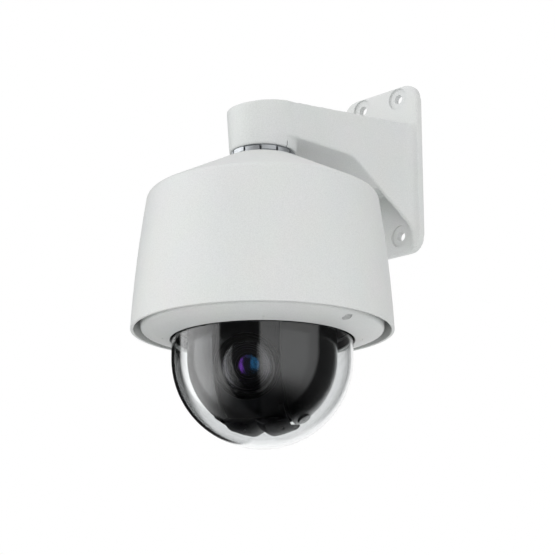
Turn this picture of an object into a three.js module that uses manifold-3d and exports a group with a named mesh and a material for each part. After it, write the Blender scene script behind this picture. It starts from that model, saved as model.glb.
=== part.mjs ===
// Outdoor pan-tilt-zoom dome camera hanging from a cast wall bracket.
//
// Millimetres. Y = 0 is the wall, +Y points into it, +Z is up and X runs along the wall.
// The origin lies on the back of the wall plate, midway between its two lower fixing holes.
// The camera hangs on a vertical pan axis in front of the wall. Heights inside the camera are
// measured from the open rim of its sun shroud, and its own group carries them to their place.

import * as THREE from 'three';
import { mergeVertices } from 'three/addons/utils/BufferGeometryUtils.js';
import Module from 'manifold-3d';

const wasm = await Module();
wasm.setup();

// ---------------------------------------------------------------- driving sizes

const GAP = 0.3; // between pieces that rest on each other
const RUN = 1.5; // between pieces that move past each other

// Wall bracket
const REACH = 176; // wall to pan axis
const PLATE_WIDTH = 96;
const PLATE_THICKNESS = 8;
const PLATE_TOP = 155;
const PLATE_BOTTOM = -19;
const PLATE_CORNER = 16;
const FIXING_SPACING_X = 46.6;
const FIXING_SPACING_Z = 143;
const FIXING_R = 4.75;
const SPOT_FACE_R = 11;
const SPOT_FACE_DEPTH = 2;
const CABLE_SLOT_HALF = 26; // half width of the opening behind the plate
const BRACKET_WALL = 4.5;
const HUB_BOTTOM_Z = 47.4;
const HUB_BOTTOM_R = 31;
const HUB_TOP_R = 34;
const ARM_TOP_Z = 92; // at the pan axis
const ARM_TOP_RISE = 0.12; // per millimetre towards the wall
const ARM_UNDERSIDE_Z = 58.5;
const ARM_HALF_AT_HUB = 33;
const ARM_HALF_AT_PLATE = 40;
const ARM_FLARE = 13; // length over which the arm widens into the plate
const GUSSET_RUN = 82.6; // from the plate's face to where the underside turns down
const GUSSET_DROP = 50; // height lost along the sloping edge
const GUSSET_KNEE_R = 27;
const GUSSET_TOE_R = 20;
const POCKET_RUN = 48; // the open pocket between the gusset's webs

// Neck and lock rings
const NECK_R = 24.15; // pipe thread size of the hanging neck
const CABLE_BORE_R = 17;
const NECK_LENGTH_IN_HUB = 34;
const LOCK_R = 30;
const LOCK_HEIGHT = 7.1; // between the shroud's top and the hub
const LOCK_TEETH = 6;
const LOCK_TOOTH_DEG = 26;
const LOCK_PHASE_DEG = 25;

// Lens and tilting drum
const LENS_RING_R = 28.5;
const LENS_GLASS_R = 21.8;
const LENS_RING_DEPTH = 5;
const GLASS_CROWN = 5; // how far the front glass bulges
const DRUM_WALL = 2;
const CHIN_LOBE = 7.5; // how far the drum's lower lobes stand out
const CHIN_FROM_DEG = 48; // below the lens axis
const CHIN_TO_DEG = 98;
const TILT_BELOW_BEZEL = 15.3;
const TILT_REST_DEG = 18; // below the horizon
const PAN_REST_DEG = 31; // from straight out of the wall
const ZOOM_BLOCK_HALF_X = 24;
const ZOOM_BLOCK_HALF_Z = 24;
const ZOOM_BLOCK_BACK = 38;
const ZOOM_TRAVEL = 24;
const FOCUS_TRAVEL = 8;

// Yoke, tilt drive and cheek covers
const ARM_PLATE = 4; // thickness of a yoke arm
const ARM_HALF_Y = 14;
const BUSH_R = 8;
const TILT_SHAFT_R = 4;
const TILT_PULLEY_R = 16;
const TILT_PINION_R = 5;
const TILT_BELT_SPAN = 38;
const PULLEY_WIDTH = 5;
const TILT_MOTOR_R = 11;
const TILT_MOTOR_LENGTH = 12.7;
const CHEEK_CLEARANCE = 3.9;
const CHEEK_WALL = 2;
const YOKE_PLATE = 4.7;

// Dome, bezel and shroud
const BUBBLE_CLEARANCE = 11.6; // cheek covers to the inside of the bubble
const BUBBLE_WALL = 2.5;
const OPENING_CLEARANCE = 1.4;
const BEZEL_WIDTH = 26.5;
const BEZEL_BOTTOM_H = -8.7;
const BEZEL_WALL = 3.5;
const BEZEL_TOP_H = 7;
const BEZEL_SLOPE = 0.34;
const GASKET = 1.5;
const FLANGE = 2.5;
const SHADOW_GAP = 6.3; // bezel to the inside of the shroud
const SHROUD_WALL = 2.8;
const SHROUD_SHOULDER_R = 6.5;
const SHROUD_CONE_SLOPE = 0.5185;
const SHROUD_CROWN_R = 35;
const BEZEL_SCREW_DEG = 90; // from straight out of the wall
const CLAMP_SCREW_DEG = 0;
const BEZEL_BOSS_R = 4.6;

// Chassis and pan drive
const CHASSIS_PLATE = 3;
const BEARING_R = 26;
const BEARING_HEIGHT = 9;
const PAN_SHAFT_R = 17.7;
const SLIP_RING_R = 9.2;
const PAN_PULLEY_R = 42;
const PAN_PINION_R = 8;
const PAN_MOTOR_R = 17.5;
const PAN_MOTOR_HEIGHT = 22;
const BELT = 1.5;
const FAN_HALF = 18;
const FAN_HEIGHT = 10;
const BOARD = 1.6;
const CAN_WALL = 3;
const CLAMP_SCREWS = 3;
const CHASSIS_SCREWS = 3;
const SPACERS = 3;

// ---------------------------------------------------------------- sizes that follow

const SLOT_HALF = LENS_RING_R + 1;
const DRUM_HALF = SLOT_HALF - RUN;
const ARM_IN = SLOT_HALF + 3.5;
const ARM_OUT = ARM_IN + ARM_PLATE;
const PULLEY_IN = ARM_OUT + RUN;
const PULLEY_OUT = PULLEY_IN + PULLEY_WIDTH;
const MOTOR_PLATE_IN = PULLEY_OUT + RUN;
const MOTOR_PLATE_OUT = MOTOR_PLATE_IN + 2;
const MOTOR_IN = MOTOR_PLATE_OUT + GAP;
const MOTOR_OUT = MOTOR_IN + TILT_MOTOR_LENGTH;
const CHEEK_R = Math.hypot(MOTOR_OUT, TILT_MOTOR_R) + CHEEK_CLEARANCE + CHEEK_WALL;
const DRUM_R = CHEEK_R - CHEEK_WALL - 2.9;
const LENS_REACH = DRUM_R;

const BUBBLE_IN_R = CHEEK_R + BUBBLE_CLEARANCE;
const BUBBLE_R = BUBBLE_IN_R + BUBBLE_WALL;
const OPENING_R = BUBBLE_R + OPENING_CLEARANCE;
const BEZEL_R = OPENING_R + BEZEL_WIDTH;
const SHROUD_RIM_R = BEZEL_R + SHADOW_GAP + SHROUD_WALL;
const CAN_R = BEZEL_R - 8.9;
const CAN_IN_R = CAN_R - CAN_WALL;
const LEDGE_R = CAN_IN_R - 9;

const TILT_H = BEZEL_BOTTOM_H - TILT_BELOW_BEZEL;
const YOKE_H = TILT_H + DRUM_R + 3;
const PAN_PULLEY_H = YOKE_H + YOKE_PLATE + 3.3;
const PAN_PULLEY_TOP_H = PAN_PULLEY_H + 7;
const CHASSIS_H = PAN_PULLEY_TOP_H + 4.7;
const CHASSIS_TOP_H = CHASSIS_H + CHASSIS_PLATE;
const LEDGE_H = CHASSIS_TOP_H + GAP;
const BEARING_H = CHASSIS_H + RUN + GAP;
const BOSS_TOP_H = BEARING_H + BEARING_HEIGHT + 6.5;
const BOARD_H = BOSS_TOP_H + 14;
const CAN_SHOULDER_H = BOARD_H + 6;
const CAN_TOP_H = CAN_SHOULDER_H + 20;
const SHOULDER_H = CAN_TOP_H + 5.7;

const shroudRadius = (h) => SHROUD_RIM_R - 0.0503 * h - 0.00041 * h * h;
const SHROUD_TOP_H = SHOULDER_H + (shroudRadius(SHOULDER_H) - SHROUD_CROWN_R) * SHROUD_CONE_SLOPE;
const RIM_Z = HUB_BOTTOM_Z - LOCK_HEIGHT - SHROUD_TOP_H;
const HUB_BOTTOM_H = SHROUD_TOP_H + LOCK_HEIGHT;

const PLATE_FACE_Y = -PLATE_THICKNESS;
const AXIS_Y = -REACH;

// ---------------------------------------------------------------- shape helpers

const DEG = Math.PI / 180;
const ROUND = 32; // sides of the large turned pieces
const SHROUD_SIDES = 40;
const SMALL = 10; // sides of screws and shafts
const ARC = 1; // half the steps in a rounded corner

// Positions only, shared corners merged and empty triangles dropped.
function weld(geometry) {
  const bare = geometry.index ? geometry.toNonIndexed() : geometry.clone();
  for (const name of Object.keys(bare.attributes)) {
    if (name !== 'position') bare.deleteAttribute(name);
  }
  const merged = mergeVertices(bare, 1e-4);
  const corners = merged.index.array;
  const kept = [];
  for (let i = 0; i < corners.length; i += 3) {
    const [a, b, c] = [corners[i], corners[i + 1], corners[i + 2]];
    if (a !== b && b !== c && c !== a) kept.push(a, b, c);
  }
  merged.setIndex(kept);
  return merged;
}

function solidOf(geometry) {
  const welded = weld(geometry);
  return new wasm.Manifold(new wasm.Mesh({
    numProp: 3,
    vertProperties: new Float32Array(welded.attributes.position.array),
    triVerts: new Uint32Array(welded.index.array),
  }));
}

function geometryOf(solid) {
  const mesh = solid.getMesh();
  const geometry = new THREE.BufferGeometry();
  geometry.setAttribute('position', new THREE.BufferAttribute(mesh.vertProperties, 3));
  geometry.setIndex(new THREE.BufferAttribute(mesh.triVerts, 1));
  return geometry;
}

const cut = (body, ...tools) =>
  geometryOf(tools.reduce((rest, tool) => rest.subtract(solidOf(tool)), solidOf(body)));
const join = (body, ...others) =>
  geometryOf(others.reduce((sum, other) => sum.add(solidOf(other)), solidOf(body)));
const common = (body, other) => geometryOf(solidOf(body).intersect(solidOf(other)));

// A closed outline through corners [x, y, radius]. A radius is limited by the sides it meets.
function outline(corners) {
  const shape = new THREE.Shape();
  corners.forEach(([x, y, radius = 0], i) => {
    const corner = new THREE.Vector2(x, y);
    if (radius === 0) {
      if (i === 0) shape.moveTo(x, y);
      else shape.lineTo(x, y);
      return;
    }
    const last = corners[(i + corners.length - 1) % corners.length];
    const next = corners[(i + 1) % corners.length];
    const before = new THREE.Vector2(last[0], last[1]).sub(corner);
    const after = new THREE.Vector2(next[0], next[1]).sub(corner);
    const half = before.angleTo(after) / 2;
    const reach = Math.min(radius / Math.tan(half), before.length() * 0.49, after.length() * 0.49);
    const bend = reach * Math.tan(half);
    before.normalize();
    after.normalize();
    const start = corner.clone().addScaledVector(before, reach);
    const end = corner.clone().addScaledVector(after, reach);
    const inward = before.clone().add(after).normalize();
    const centre = corner.clone().addScaledVector(inward, bend / Math.sin(half));
    const from = Math.atan2(start.y - centre.y, start.x - centre.x);
    const to = Math.atan2(end.y - centre.y, end.x - centre.x);
    shape.absarc(centre.x, centre.y, bend, from, to, before.cross(after) > 0);
  });
  return shape;
}

// A solid of revolution about Z from corners [radius, height, rounding].
function turned(corners, sides = ROUND, arc = ARC) {
  const points = outline(corners).getPoints(arc);
  if (!points[0].equals(points[points.length - 1])) points.push(points[0].clone());
  if (THREE.ShapeUtils.area(points) < 0) points.reverse();
  return new THREE.LatheGeometry(points, sides).rotateX(Math.PI / 2);
}

const tube = (inner, outer, low, high, sides = ROUND) =>
  turned([[inner, low], [outer, low], [outer, high], [inner, high]], sides);
const rod = (radius, low, high, sides = SMALL) =>
  new THREE.CylinderGeometry(radius, radius, high - low, sides)
    .rotateX(Math.PI / 2)
    .translate(0, 0, (low + high) / 2);
const crossRod = (radius, from, to, sides = SMALL) => rod(radius, from, to, sides).rotateY(Math.PI / 2);
const block = (x0, x1, y0, y1, z0, z1) =>
  new THREE.BoxGeometry(x1 - x0, y1 - y0, z1 - z0).translate((x0 + x1) / 2, (y0 + y1) / 2, (z0 + z1) / 2);
const prism = (shape, low, high, arc = ARC) =>
  new THREE.ExtrudeGeometry(shape, { depth: high - low, bevelEnabled: false, curveSegments: arc })
    .translate(0, 0, low);

// A side view, drawn as [y, z], carried along X.
const SIDE_VIEW = new THREE.Matrix4().makeBasis(
  new THREE.Vector3(0, 1, 0),
  new THREE.Vector3(0, 0, 1),
  new THREE.Vector3(1, 0, 0),
);
const sidePrism = (shape, from, to, arc = ARC) => prism(shape, from, to, arc).applyMatrix4(SIDE_VIEW);

// Part of a ring about Z, centred on a heading.
function sector(inner, outer, headingDeg, widthDeg, low, high) {
  const from = (headingDeg - widthDeg / 2) * DEG;
  const to = (headingDeg + widthDeg / 2) * DEG;
  const shape = new THREE.Shape();
  shape.absarc(0, 0, outer, from, to, false);
  shape.absarc(0, 0, inner, to, from, true);
  return prism(shape, low, high, 1);
}

// A cap screw with its head up and the underside of the head at height 0.
const screw = (headR, headHeight, shankR, length) =>
  turned([[0, headHeight], [headR, headHeight], [headR, 0], [shankR, 0], [shankR, -length], [0, -length]], 8);

// A belt about two pulleys in one plane, the second at a distance along +X.
function belt(largeR, smallR, span, low, high) {
  const loop = (margin) => {
    const big = largeR + margin;
    const small = smallR + margin;
    const lean = Math.acos((big - small) / span);
    const shape = new THREE.Shape();
    shape.absarc(0, 0, big, lean, 2 * Math.PI - lean, false);
    shape.absarc(span, 0, small, -lean, lean, false);
    return shape;
  };
  const inside = prism(loop(GAP), low - 1, high + 1, 11);
  return cut(prism(loop(GAP + BELT), low, high, 8), inside);
}

// ---------------------------------------------------------------- finishes

const finish = (color, roughness, metalness, opacity = 1) =>
  new THREE.MeshStandardMaterial({ color, roughness, metalness, opacity, transparent: opacity < 1 });
const PAINT = finish(0xd3d5d4, 0.55, 0);
const BEZEL_PAINT = finish(0xcfd1d0, 0.5, 0);
const CAST = finish(0x9a9da0, 0.5, 0.6);
const STEEL = finish(0xb8bbbe, 0.35, 0.9);
const BLACK = finish(0x17181a, 0.4, 0);
const GLOSS_BLACK = finish(0x0c0d0f, 0.2, 0);
const RUBBER = finish(0x101112, 0.8, 0);
const CLEAR = finish(0xdfe6e8, 0.05, 0, 0.25);
const LENS = finish(0x2a2350, 0.05, 0, 0.6);
const BOARD_GREEN = finish(0x1f5a3a, 0.5, 0);
const COPPER = finish(0xb8794a, 0.4, 0.8);
const MOTOR = finish(0x55585c, 0.4, 0.7);

const product = new THREE.Group();
const camera = new THREE.Group();
camera.position.set(0, AXIS_Y, RIM_Z);
product.add(camera);
const head = new THREE.Group();
head.rotation.z = PAN_REST_DEG * DEG;
camera.add(head);
const eye = new THREE.Group();
eye.position.z = TILT_H;
eye.rotation.x = TILT_REST_DEG * DEG;
head.add(eye);

function place(name, geometry, material, parent, x = 0, y = 0, z = 0) {
  const mesh = new THREE.Mesh(weld(geometry), material.clone());
  mesh.name = name;
  mesh.position.set(x, y, z);
  parent.add(mesh);
  return mesh;
}

// Equal places round the pan axis, as [x, y] with their number.
function around(count, radius, startDeg, make) {
  for (let i = 0; i < count; i += 1) {
    const heading = (startDeg + (360 * i) / count) * DEG;
    make(i + 1, radius * Math.sin(heading), -radius * Math.cos(heading), heading);
  }
}

// ---------------------------------------------------------------- wall bracket

// The arm seen from the side, from in front of the hub to inside the plate.
function armSide(inset) {
  const top = (y) => ARM_TOP_Z + (y - AXIS_Y) * ARM_TOP_RISE - inset;
  const back = PLATE_FACE_Y + 1;
  return outline([
    [AXIS_Y, top(AXIS_Y)],
    [AXIS_Y, ARM_UNDERSIDE_Z + inset],
    [PLATE_FACE_Y - GUSSET_RUN, ARM_UNDERSIDE_Z + inset, GUSSET_KNEE_R],
    [PLATE_FACE_Y - 4, ARM_UNDERSIDE_Z - GUSSET_DROP + inset, GUSSET_TOE_R],
    [PLATE_FACE_Y - 3, PLATE_BOTTOM + 4, 2],
    [back, PLATE_BOTTOM + 2],
    [back, top(back)],
  ]);
}

// The arm seen from above, narrowed by a wall.
function armPlan(wall) {
  const shape = new THREE.Shape();
  const hub = ARM_HALF_AT_HUB - wall;
  const root = ARM_HALF_AT_PLATE - wall;
  const flare = PLATE_WIDTH / 2 - 0.5 - wall;
  const flareY = PLATE_FACE_Y - ARM_FLARE;
  shape.moveTo(-hub, AXIS_Y);
  shape.lineTo(hub, AXIS_Y);
  shape.lineTo(root, flareY);
  shape.quadraticCurveTo(root + 0.8, PLATE_FACE_Y - 2, flare, PLATE_FACE_Y + 0.5);
  shape.lineTo(-flare, PLATE_FACE_Y + 0.5);
  shape.quadraticCurveTo(-root - 0.8, PLATE_FACE_Y - 2, -root, flareY);
  return shape;
}

function wallBracket() {
  const half = PLATE_WIDTH / 2;
  const low = PLATE_BOTTOM - 1;
  const high = PLATE_TOP + 1;
  const arm = common(
    sidePrism(armSide(0), -half, half, 3),
    prism(armPlan(0), low, high, 4),
  );
  const plateOutline = outline([
    [-half, PLATE_BOTTOM, PLATE_CORNER],
    [half, PLATE_BOTTOM, PLATE_CORNER],
    [half, PLATE_TOP, PLATE_CORNER],
    [-half, PLATE_TOP, PLATE_CORNER],
  ]);
  const plate = prism(plateOutline, 0, PLATE_THICKNESS, 3).rotateX(Math.PI / 2);
  const hubTop = ARM_TOP_Z + HUB_TOP_R;
  const hub = turned([
    [0, HUB_BOTTOM_Z],
    [HUB_BOTTOM_R, HUB_BOTTOM_Z],
    [HUB_TOP_R, ARM_TOP_Z],
    [HUB_TOP_R, hubTop],
    [0, hubTop],
  ]).translate(0, AXIS_Y, 0);
  const sky = sidePrism(outline([
    [AXIS_Y - 60, ARM_TOP_Z - 60 * ARM_TOP_RISE],
    [AXIS_Y + 60, ARM_TOP_Z + 60 * ARM_TOP_RISE],
    [AXIS_Y + 60, hubTop + 1],
    [AXIS_Y - 60, hubTop + 1],
  ]), -60, 60);

  // The cable way runs from the hub through the arm and out behind the plate.
  const wayFloor = ARM_UNDERSIDE_Z + BRACKET_WALL;
  const wayTop = (y) => ARM_TOP_Z + (y - AXIS_Y) * ARM_TOP_RISE - BRACKET_WALL;
  const cableWay = common(
    sidePrism(outline([
      [AXIS_Y - NECK_R - 2, wayFloor],
      [1, wayFloor],
      [1, wayTop(0)],
      [AXIS_Y - NECK_R - 2, wayTop(AXIS_Y - NECK_R)],
    ]), -half, half),
    prism(outline([
      [-NECK_R, AXIS_Y - NECK_R, NECK_R],
      [NECK_R, AXIS_Y - NECK_R, NECK_R],
      [CABLE_SLOT_HALF, 2],
      [-CABLE_SLOT_HALF, 2],
    ]), low, high, 4),
  );
  const lockBore = rod(LOCK_R - 2.5, HUB_BOTTOM_Z - 1, HUB_BOTTOM_Z + 8, ROUND).translate(0, AXIS_Y, 0);
  const neckBore = rod(NECK_R + GAP, HUB_BOTTOM_Z - 1, wayFloor + 8, ROUND).translate(0, AXIS_Y, 0);

  // Below the cable way the gusset is two webs with an open pocket between them.
  const pocket = common(
    sidePrism(outline([
      [PLATE_FACE_Y - POCKET_RUN, PLATE_BOTTOM - 2],
      [PLATE_FACE_Y, PLATE_BOTTOM - 2],
      [PLATE_FACE_Y, ARM_UNDERSIDE_Z - 12.5],
      [PLATE_FACE_Y - POCKET_RUN, ARM_UNDERSIDE_Z - 20, 8],
    ]), -half, half, 3),
    prism(armPlan(BRACKET_WALL), low, high, 4),
  );
  const hubReach = Math.max(HUB_BOTTOM_R, HUB_TOP_R) + 3;
  const setScrewHole = rod(2.3, LOCK_R - 5, hubReach).rotateY(-Math.PI / 2)
    .translate(0, AXIS_Y, HUB_BOTTOM_Z + 4);
  const seam = block(LOCK_R - 4, hubReach, AXIS_Y - 0.6, AXIS_Y + 0.6, HUB_BOTTOM_Z - 1, HUB_BOTTOM_Z + 6);
  const holes = [];
  for (const x of [-FIXING_SPACING_X / 2, FIXING_SPACING_X / 2]) {
    for (const z of [0, FIXING_SPACING_Z]) {
      const hole = rod(FIXING_R, -1, PLATE_THICKNESS + 1, 20);
      const spot = rod(SPOT_FACE_R, PLATE_THICKNESS - SPOT_FACE_DEPTH, PLATE_THICKNESS + 20, 24);
      holes.push(join(hole, spot).rotateX(Math.PI / 2).translate(x, 0, z));
    }
  }
  const body = join(arm, plate, cut(hub, sky));
  return cut(body, cableWay, lockBore, neckBore, pocket, setScrewHole, seam, ...holes);
}

place('wall_bracket', wallBracket(), PAINT, product);

// ---------------------------------------------------------------- neck and lock rings

// Two rings of interlocking teeth stop the camera turning on its thread.
function lockRing(base, teethLow, teethHigh, phaseDeg) {
  const teeth = [];
  for (let i = 0; i < LOCK_TEETH; i += 1) {
    const heading = phaseDeg - 90 + (360 * i) / LOCK_TEETH;
    teeth.push(sector(NECK_R + 0.6, LOCK_R - 0.2, heading, LOCK_TOOTH_DEG, teethLow, teethHigh));
  }
  return join(base, ...teeth);
}

const lockBaseTop = SHROUD_TOP_H + GAP + 1.6;
const cameraRing = tube(NECK_R + GAP, LOCK_R, SHROUD_TOP_H + GAP, lockBaseTop, 24);
place(
  'camera_lock_ring',
  lockRing(cameraRing, lockBaseTop - 0.5, HUB_BOTTOM_H - 3 * GAP, LOCK_PHASE_DEG),
  STEEL,
  camera,
);
const hubSleeve = tube(NECK_R + 2 * GAP, LOCK_R - 2.5 - GAP, HUB_BOTTOM_H - 2 * GAP, HUB_BOTTOM_H + 7, 24);
place(
  'bracket_lock_ring',
  lockRing(hubSleeve, lockBaseTop + 0.6, HUB_BOTTOM_H - GAP, LOCK_PHASE_DEG + 180 / LOCK_TEETH),
  STEEL,
  camera,
);

const setScrewReach = HUB_BOTTOM_R - LOCK_R + 2.5;
place(
  'hub_set_screw',
  turned([
    [0, 0],
    [2, 0],
    [2, setScrewReach],
    [1, setScrewReach],
    [1, setScrewReach - 1],
    [0, setScrewReach - 1],
  ], 10).rotateY(-Math.PI / 2),
  STEEL, camera, -(LOCK_R - 2.5), 0, HUB_BOTTOM_H + 4,
);

const neckFlangeH = CAN_TOP_H + GAP;
place('neck_adapter', turned([
  [CABLE_BORE_R, neckFlangeH - 12],
  [NECK_R - 1, neckFlangeH - 12],
  [NECK_R - 1, neckFlangeH],
  [CABLE_BORE_R * 2, neckFlangeH],
  [CABLE_BORE_R * 2, neckFlangeH + 4],
  [LOCK_R - 1, neckFlangeH + 4],
  [LOCK_R - 1, SHROUD_TOP_H - SHROUD_WALL - GAP],
  [NECK_R, SHROUD_TOP_H - SHROUD_WALL - GAP],
  [NECK_R, HUB_BOTTOM_H + NECK_LENGTH_IN_HUB],
  [CABLE_BORE_R, HUB_BOTTOM_H + NECK_LENGTH_IN_HUB],
], 24), CAST, camera);

// ---------------------------------------------------------------- sun shroud

// The barrel bows out slightly, then a rounded shoulder leads to the conical top.
function shroudSide(inset, steps) {
  const barrel = [];
  for (let i = 0; i <= steps; i += 1) {
    const h = ((SHOULDER_H - 8) * i) / steps;
    barrel.push([shroudRadius(h) - inset, h]);
  }
  const corner = SHOULDER_H - inset * 0.6;
  barrel.push([shroudRadius(SHOULDER_H) - inset, corner, SHROUD_SHOULDER_R - inset]);
  barrel.push([SHROUD_CROWN_R, SHROUD_TOP_H - inset, 3]);
  barrel.push([NECK_R + GAP, SHROUD_TOP_H - inset]);
  return barrel;
}

const shroudWall = [...shroudSide(0, 3), ...shroudSide(SHROUD_WALL, 3).reverse()];
place('sun_shroud', turned(shroudWall, SHROUD_SIDES), PAINT, camera);

const spacerH = CHASSIS_H;
const spacerReach = (shroudRadius(spacerH + 5) - SHROUD_WALL) * Math.cos(Math.PI / SHROUD_SIDES) - GAP;
around(SPACERS, 0, 60, (number, x, y, heading) => {
  const spacer = turned([[0, CAN_R + GAP], [5, CAN_R + GAP], [5, spacerReach], [0, spacerReach]], 12)
    .rotateX(Math.PI / 2)
    .rotateZ(heading);
  place(`shroud_spacer_${number}`, spacer, RUBBER, camera, x, y, spacerH);
});

// ---------------------------------------------------------------- housing and bezel

const flangeH = BEZEL_TOP_H + GAP + 1 + GAP;
const screwCircle = BEZEL_R - 8.4;
const canBody = turned([
  [CAN_IN_R, flangeH],
  [BEZEL_R - 0.4, flangeH],
  [BEZEL_R - 0.4, flangeH + 4.4],
  [CAN_R, flangeH + 4.4],
  [CAN_R, CAN_SHOULDER_H],
  [CAN_R - 30, CAN_TOP_H],
  [NECK_R + GAP, CAN_TOP_H],
  [NECK_R + GAP, CAN_TOP_H - CAN_WALL],
  [CAN_R - 31, CAN_TOP_H - CAN_WALL],
  [CAN_IN_R, CAN_SHOULDER_H - 1.2],
  [CAN_IN_R, LEDGE_H + 4],
  [LEDGE_R, LEDGE_H + 4],
  [LEDGE_R, LEDGE_H],
  [CAN_IN_R, LEDGE_H],
]);
const canHoles = [];
around(2, screwCircle, BEZEL_SCREW_DEG, (number, x, y) => {
  canHoles.push(rod(2.4, flangeH - 1, flangeH + 3.4).translate(x, y, 0));
});
around(CHASSIS_SCREWS, LEDGE_R + 3, 0, (number, x, y) => {
  canHoles.push(rod(1.8, LEDGE_H - 1, LEDGE_H + 3).translate(x, y, 0));
});
place('housing_can', cut(canBody, ...canHoles), CAST, camera);
const housingGasket = tube(BEZEL_R - 3.3, BEZEL_R - 0.7, BEZEL_TOP_H + GAP, BEZEL_TOP_H + GAP + 1);
place('housing_gasket', housingGasket, RUBBER, camera);

// The bezel's lower face is a shallow cone that rounds up into a short wall.
const lipTopH = BEZEL_BOTTOM_H + 5.1;
const seatR = OPENING_R + 8.6;
const bezelEdgeH = BEZEL_BOTTOM_H + BEZEL_WIDTH * BEZEL_SLOPE;
const clampCircle = OPENING_R + 12.1;
const bezelBody = turned([
  [OPENING_R, BEZEL_BOTTOM_H],
  [BEZEL_R - BEZEL_WIDTH * 0.4, bezelEdgeH - BEZEL_WIDTH * 0.4 * BEZEL_SLOPE - 0.5, 40],
  [BEZEL_R, bezelEdgeH, 4],
  [BEZEL_R, BEZEL_TOP_H],
  [BEZEL_R - BEZEL_WALL, BEZEL_TOP_H],
  [BEZEL_R - BEZEL_WALL, bezelEdgeH + 3.4],
  [seatR, lipTopH],
  [OPENING_R, lipTopH],
], ROUND, 2);
const flangeTopH = lipTopH + GAP + GASKET + GAP + FLANGE;
const bosses = [];
const bezelHoles = [];
around(CLAMP_SCREWS, clampCircle, CLAMP_SCREW_DEG, (number, x, y) => {
  bosses.push(rod(3.4, lipTopH - 1, flangeTopH, 12).translate(x, y, 0));
  bezelHoles.push(rod(1.8, lipTopH, flangeTopH + 1).translate(x, y, 0));
});
const recessTopH = BEZEL_BOTTOM_H + 10;
around(2, screwCircle, BEZEL_SCREW_DEG, (number, x, y) => {
  bosses.push(rod(BEZEL_BOSS_R, bezelEdgeH - 1.5, flangeH - GAP, 16).translate(x, y, 0));
  bezelHoles.push(rod(3.4, BEZEL_BOTTOM_H - 1, recessTopH, 16).translate(x, y, 0));
  bezelHoles.push(rod(2.4, recessTopH - 1, flangeH + 1).translate(x, y, 0));
});
place('bezel_ring', cut(join(bezelBody, ...bosses), ...bezelHoles), BEZEL_PAINT, camera);
around(2, screwCircle, BEZEL_SCREW_DEG, (number, x, y) => {
  const shank = flangeH + 3 - recessTopH + GAP;
  const captive = screw(2.9, 2.2, 2, shank).rotateX(Math.PI);
  place(`bezel_screw_${number}`, captive, STEEL, camera, x, y, recessTopH - GAP);
});

// The gasket's lip fills the gap between bubble and bezel; the clamp ring presses the flange on it.
const seatOutR = seatR - 0.5;
const gasketTopH = lipTopH + GAP + GASKET;
place('dome_gasket', turned([
  [BUBBLE_R + GAP, BEZEL_BOTTOM_H + 0.9],
  [OPENING_R - GAP, BEZEL_BOTTOM_H + 0.9],
  [OPENING_R - GAP, lipTopH + GAP],
  [seatOutR, lipTopH + GAP],
  [seatOutR, gasketTopH],
  [BUBBLE_R + GAP, gasketTopH],
]), RUBBER, camera);

const flangeLowH = gasketTopH + GAP;
function bubbleProfile(steps) {
  const outer = [];
  const inner = [];
  for (let i = 0; i <= steps; i += 1) {
    const angle = (Math.PI / 2) * (i / steps);
    outer.push([BUBBLE_R * Math.cos(angle), TILT_H - BUBBLE_R * Math.sin(angle)]);
    inner.push([BUBBLE_IN_R * Math.cos(angle), TILT_H - BUBBLE_IN_R * Math.sin(angle)]);
  }
  outer[steps][0] = 0;
  inner[steps][0] = 0;
  return [
    [BUBBLE_IN_R, flangeTopH],
    [seatOutR, flangeTopH],
    [seatOutR, flangeLowH],
    [BUBBLE_R, flangeLowH],
    ...outer,
    ...inner.reverse(),
  ];
}
place('dome_bubble', turned(bubbleProfile(8)), CLEAR, camera);

const clampLowH = flangeTopH + GAP;
const clampHoles = [];
around(CLAMP_SCREWS, clampCircle, CLAMP_SCREW_DEG, (number, x, y) => {
  clampHoles.push(rod(2.1, clampLowH - 1, clampLowH + 4).translate(x, y, 0));
  const clampScrew = screw(3, 2, 1.5, clampLowH + 3 + GAP - lipTopH - 1);
  place(`clamp_screw_${number}`, clampScrew, STEEL, camera, x, y, clampLowH + 3 + GAP);
});
around(2, screwCircle, BEZEL_SCREW_DEG, (number, x, y) => {
  clampHoles.push(rod(BEZEL_BOSS_R + 0.8, clampLowH - 1, clampLowH + 4, 16).translate(x, y, 0));
});
const clampRing = tube(BUBBLE_R + 1, clampCircle + 3.5, clampLowH, clampLowH + 3);
place('dome_clamp_ring', cut(clampRing, ...clampHoles), STEEL, camera);

// ---------------------------------------------------------------- chassis

const beltSpan = LEDGE_R - PAN_MOTOR_R - 4.5;
const fanY = LEDGE_R - 24;
const postR = LEDGE_R - 16;
const bossR = BEARING_R + 3;
const chassisBody = turned([
  [BEARING_R - 2, CHASSIS_H],
  [LEDGE_R + 6, CHASSIS_H],
  [LEDGE_R + 6, CHASSIS_TOP_H],
  [bossR, CHASSIS_TOP_H],
  [bossR, BOSS_TOP_H],
  [BEARING_R + GAP, BOSS_TOP_H],
  [BEARING_R + GAP, BEARING_H - GAP],
  [BEARING_R - 2, BEARING_H - GAP],
]);
const posts = [];
around(4, postR, 45, (number, x, y) => {
  posts.push(rod(3.5, CHASSIS_TOP_H - 1, BOARD_H - GAP, 10).translate(x, y, 0));
});
const chassisHoles = [
  rod(PAN_PINION_R - 1, CHASSIS_H - 1, CHASSIS_TOP_H + 1, 16).translate(-beltSpan, 0, 0),
  rod(FAN_HALF - 3, CHASSIS_H - 1, CHASSIS_TOP_H + 1, 24).translate(0, fanY, 0),
];
around(CHASSIS_SCREWS, LEDGE_R + 3, 0, (number, x, y) => {
  chassisHoles.push(rod(1.8, CHASSIS_H - 1, CHASSIS_TOP_H + 1).translate(x, y, 0));
  const chassisScrew = screw(2.8, 2, 1.5, CHASSIS_PLATE + 3).rotateX(Math.PI);
  place(`chassis_screw_${number}`, chassisScrew, STEEL, camera, x, y, CHASSIS_H - GAP);
});
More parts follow.
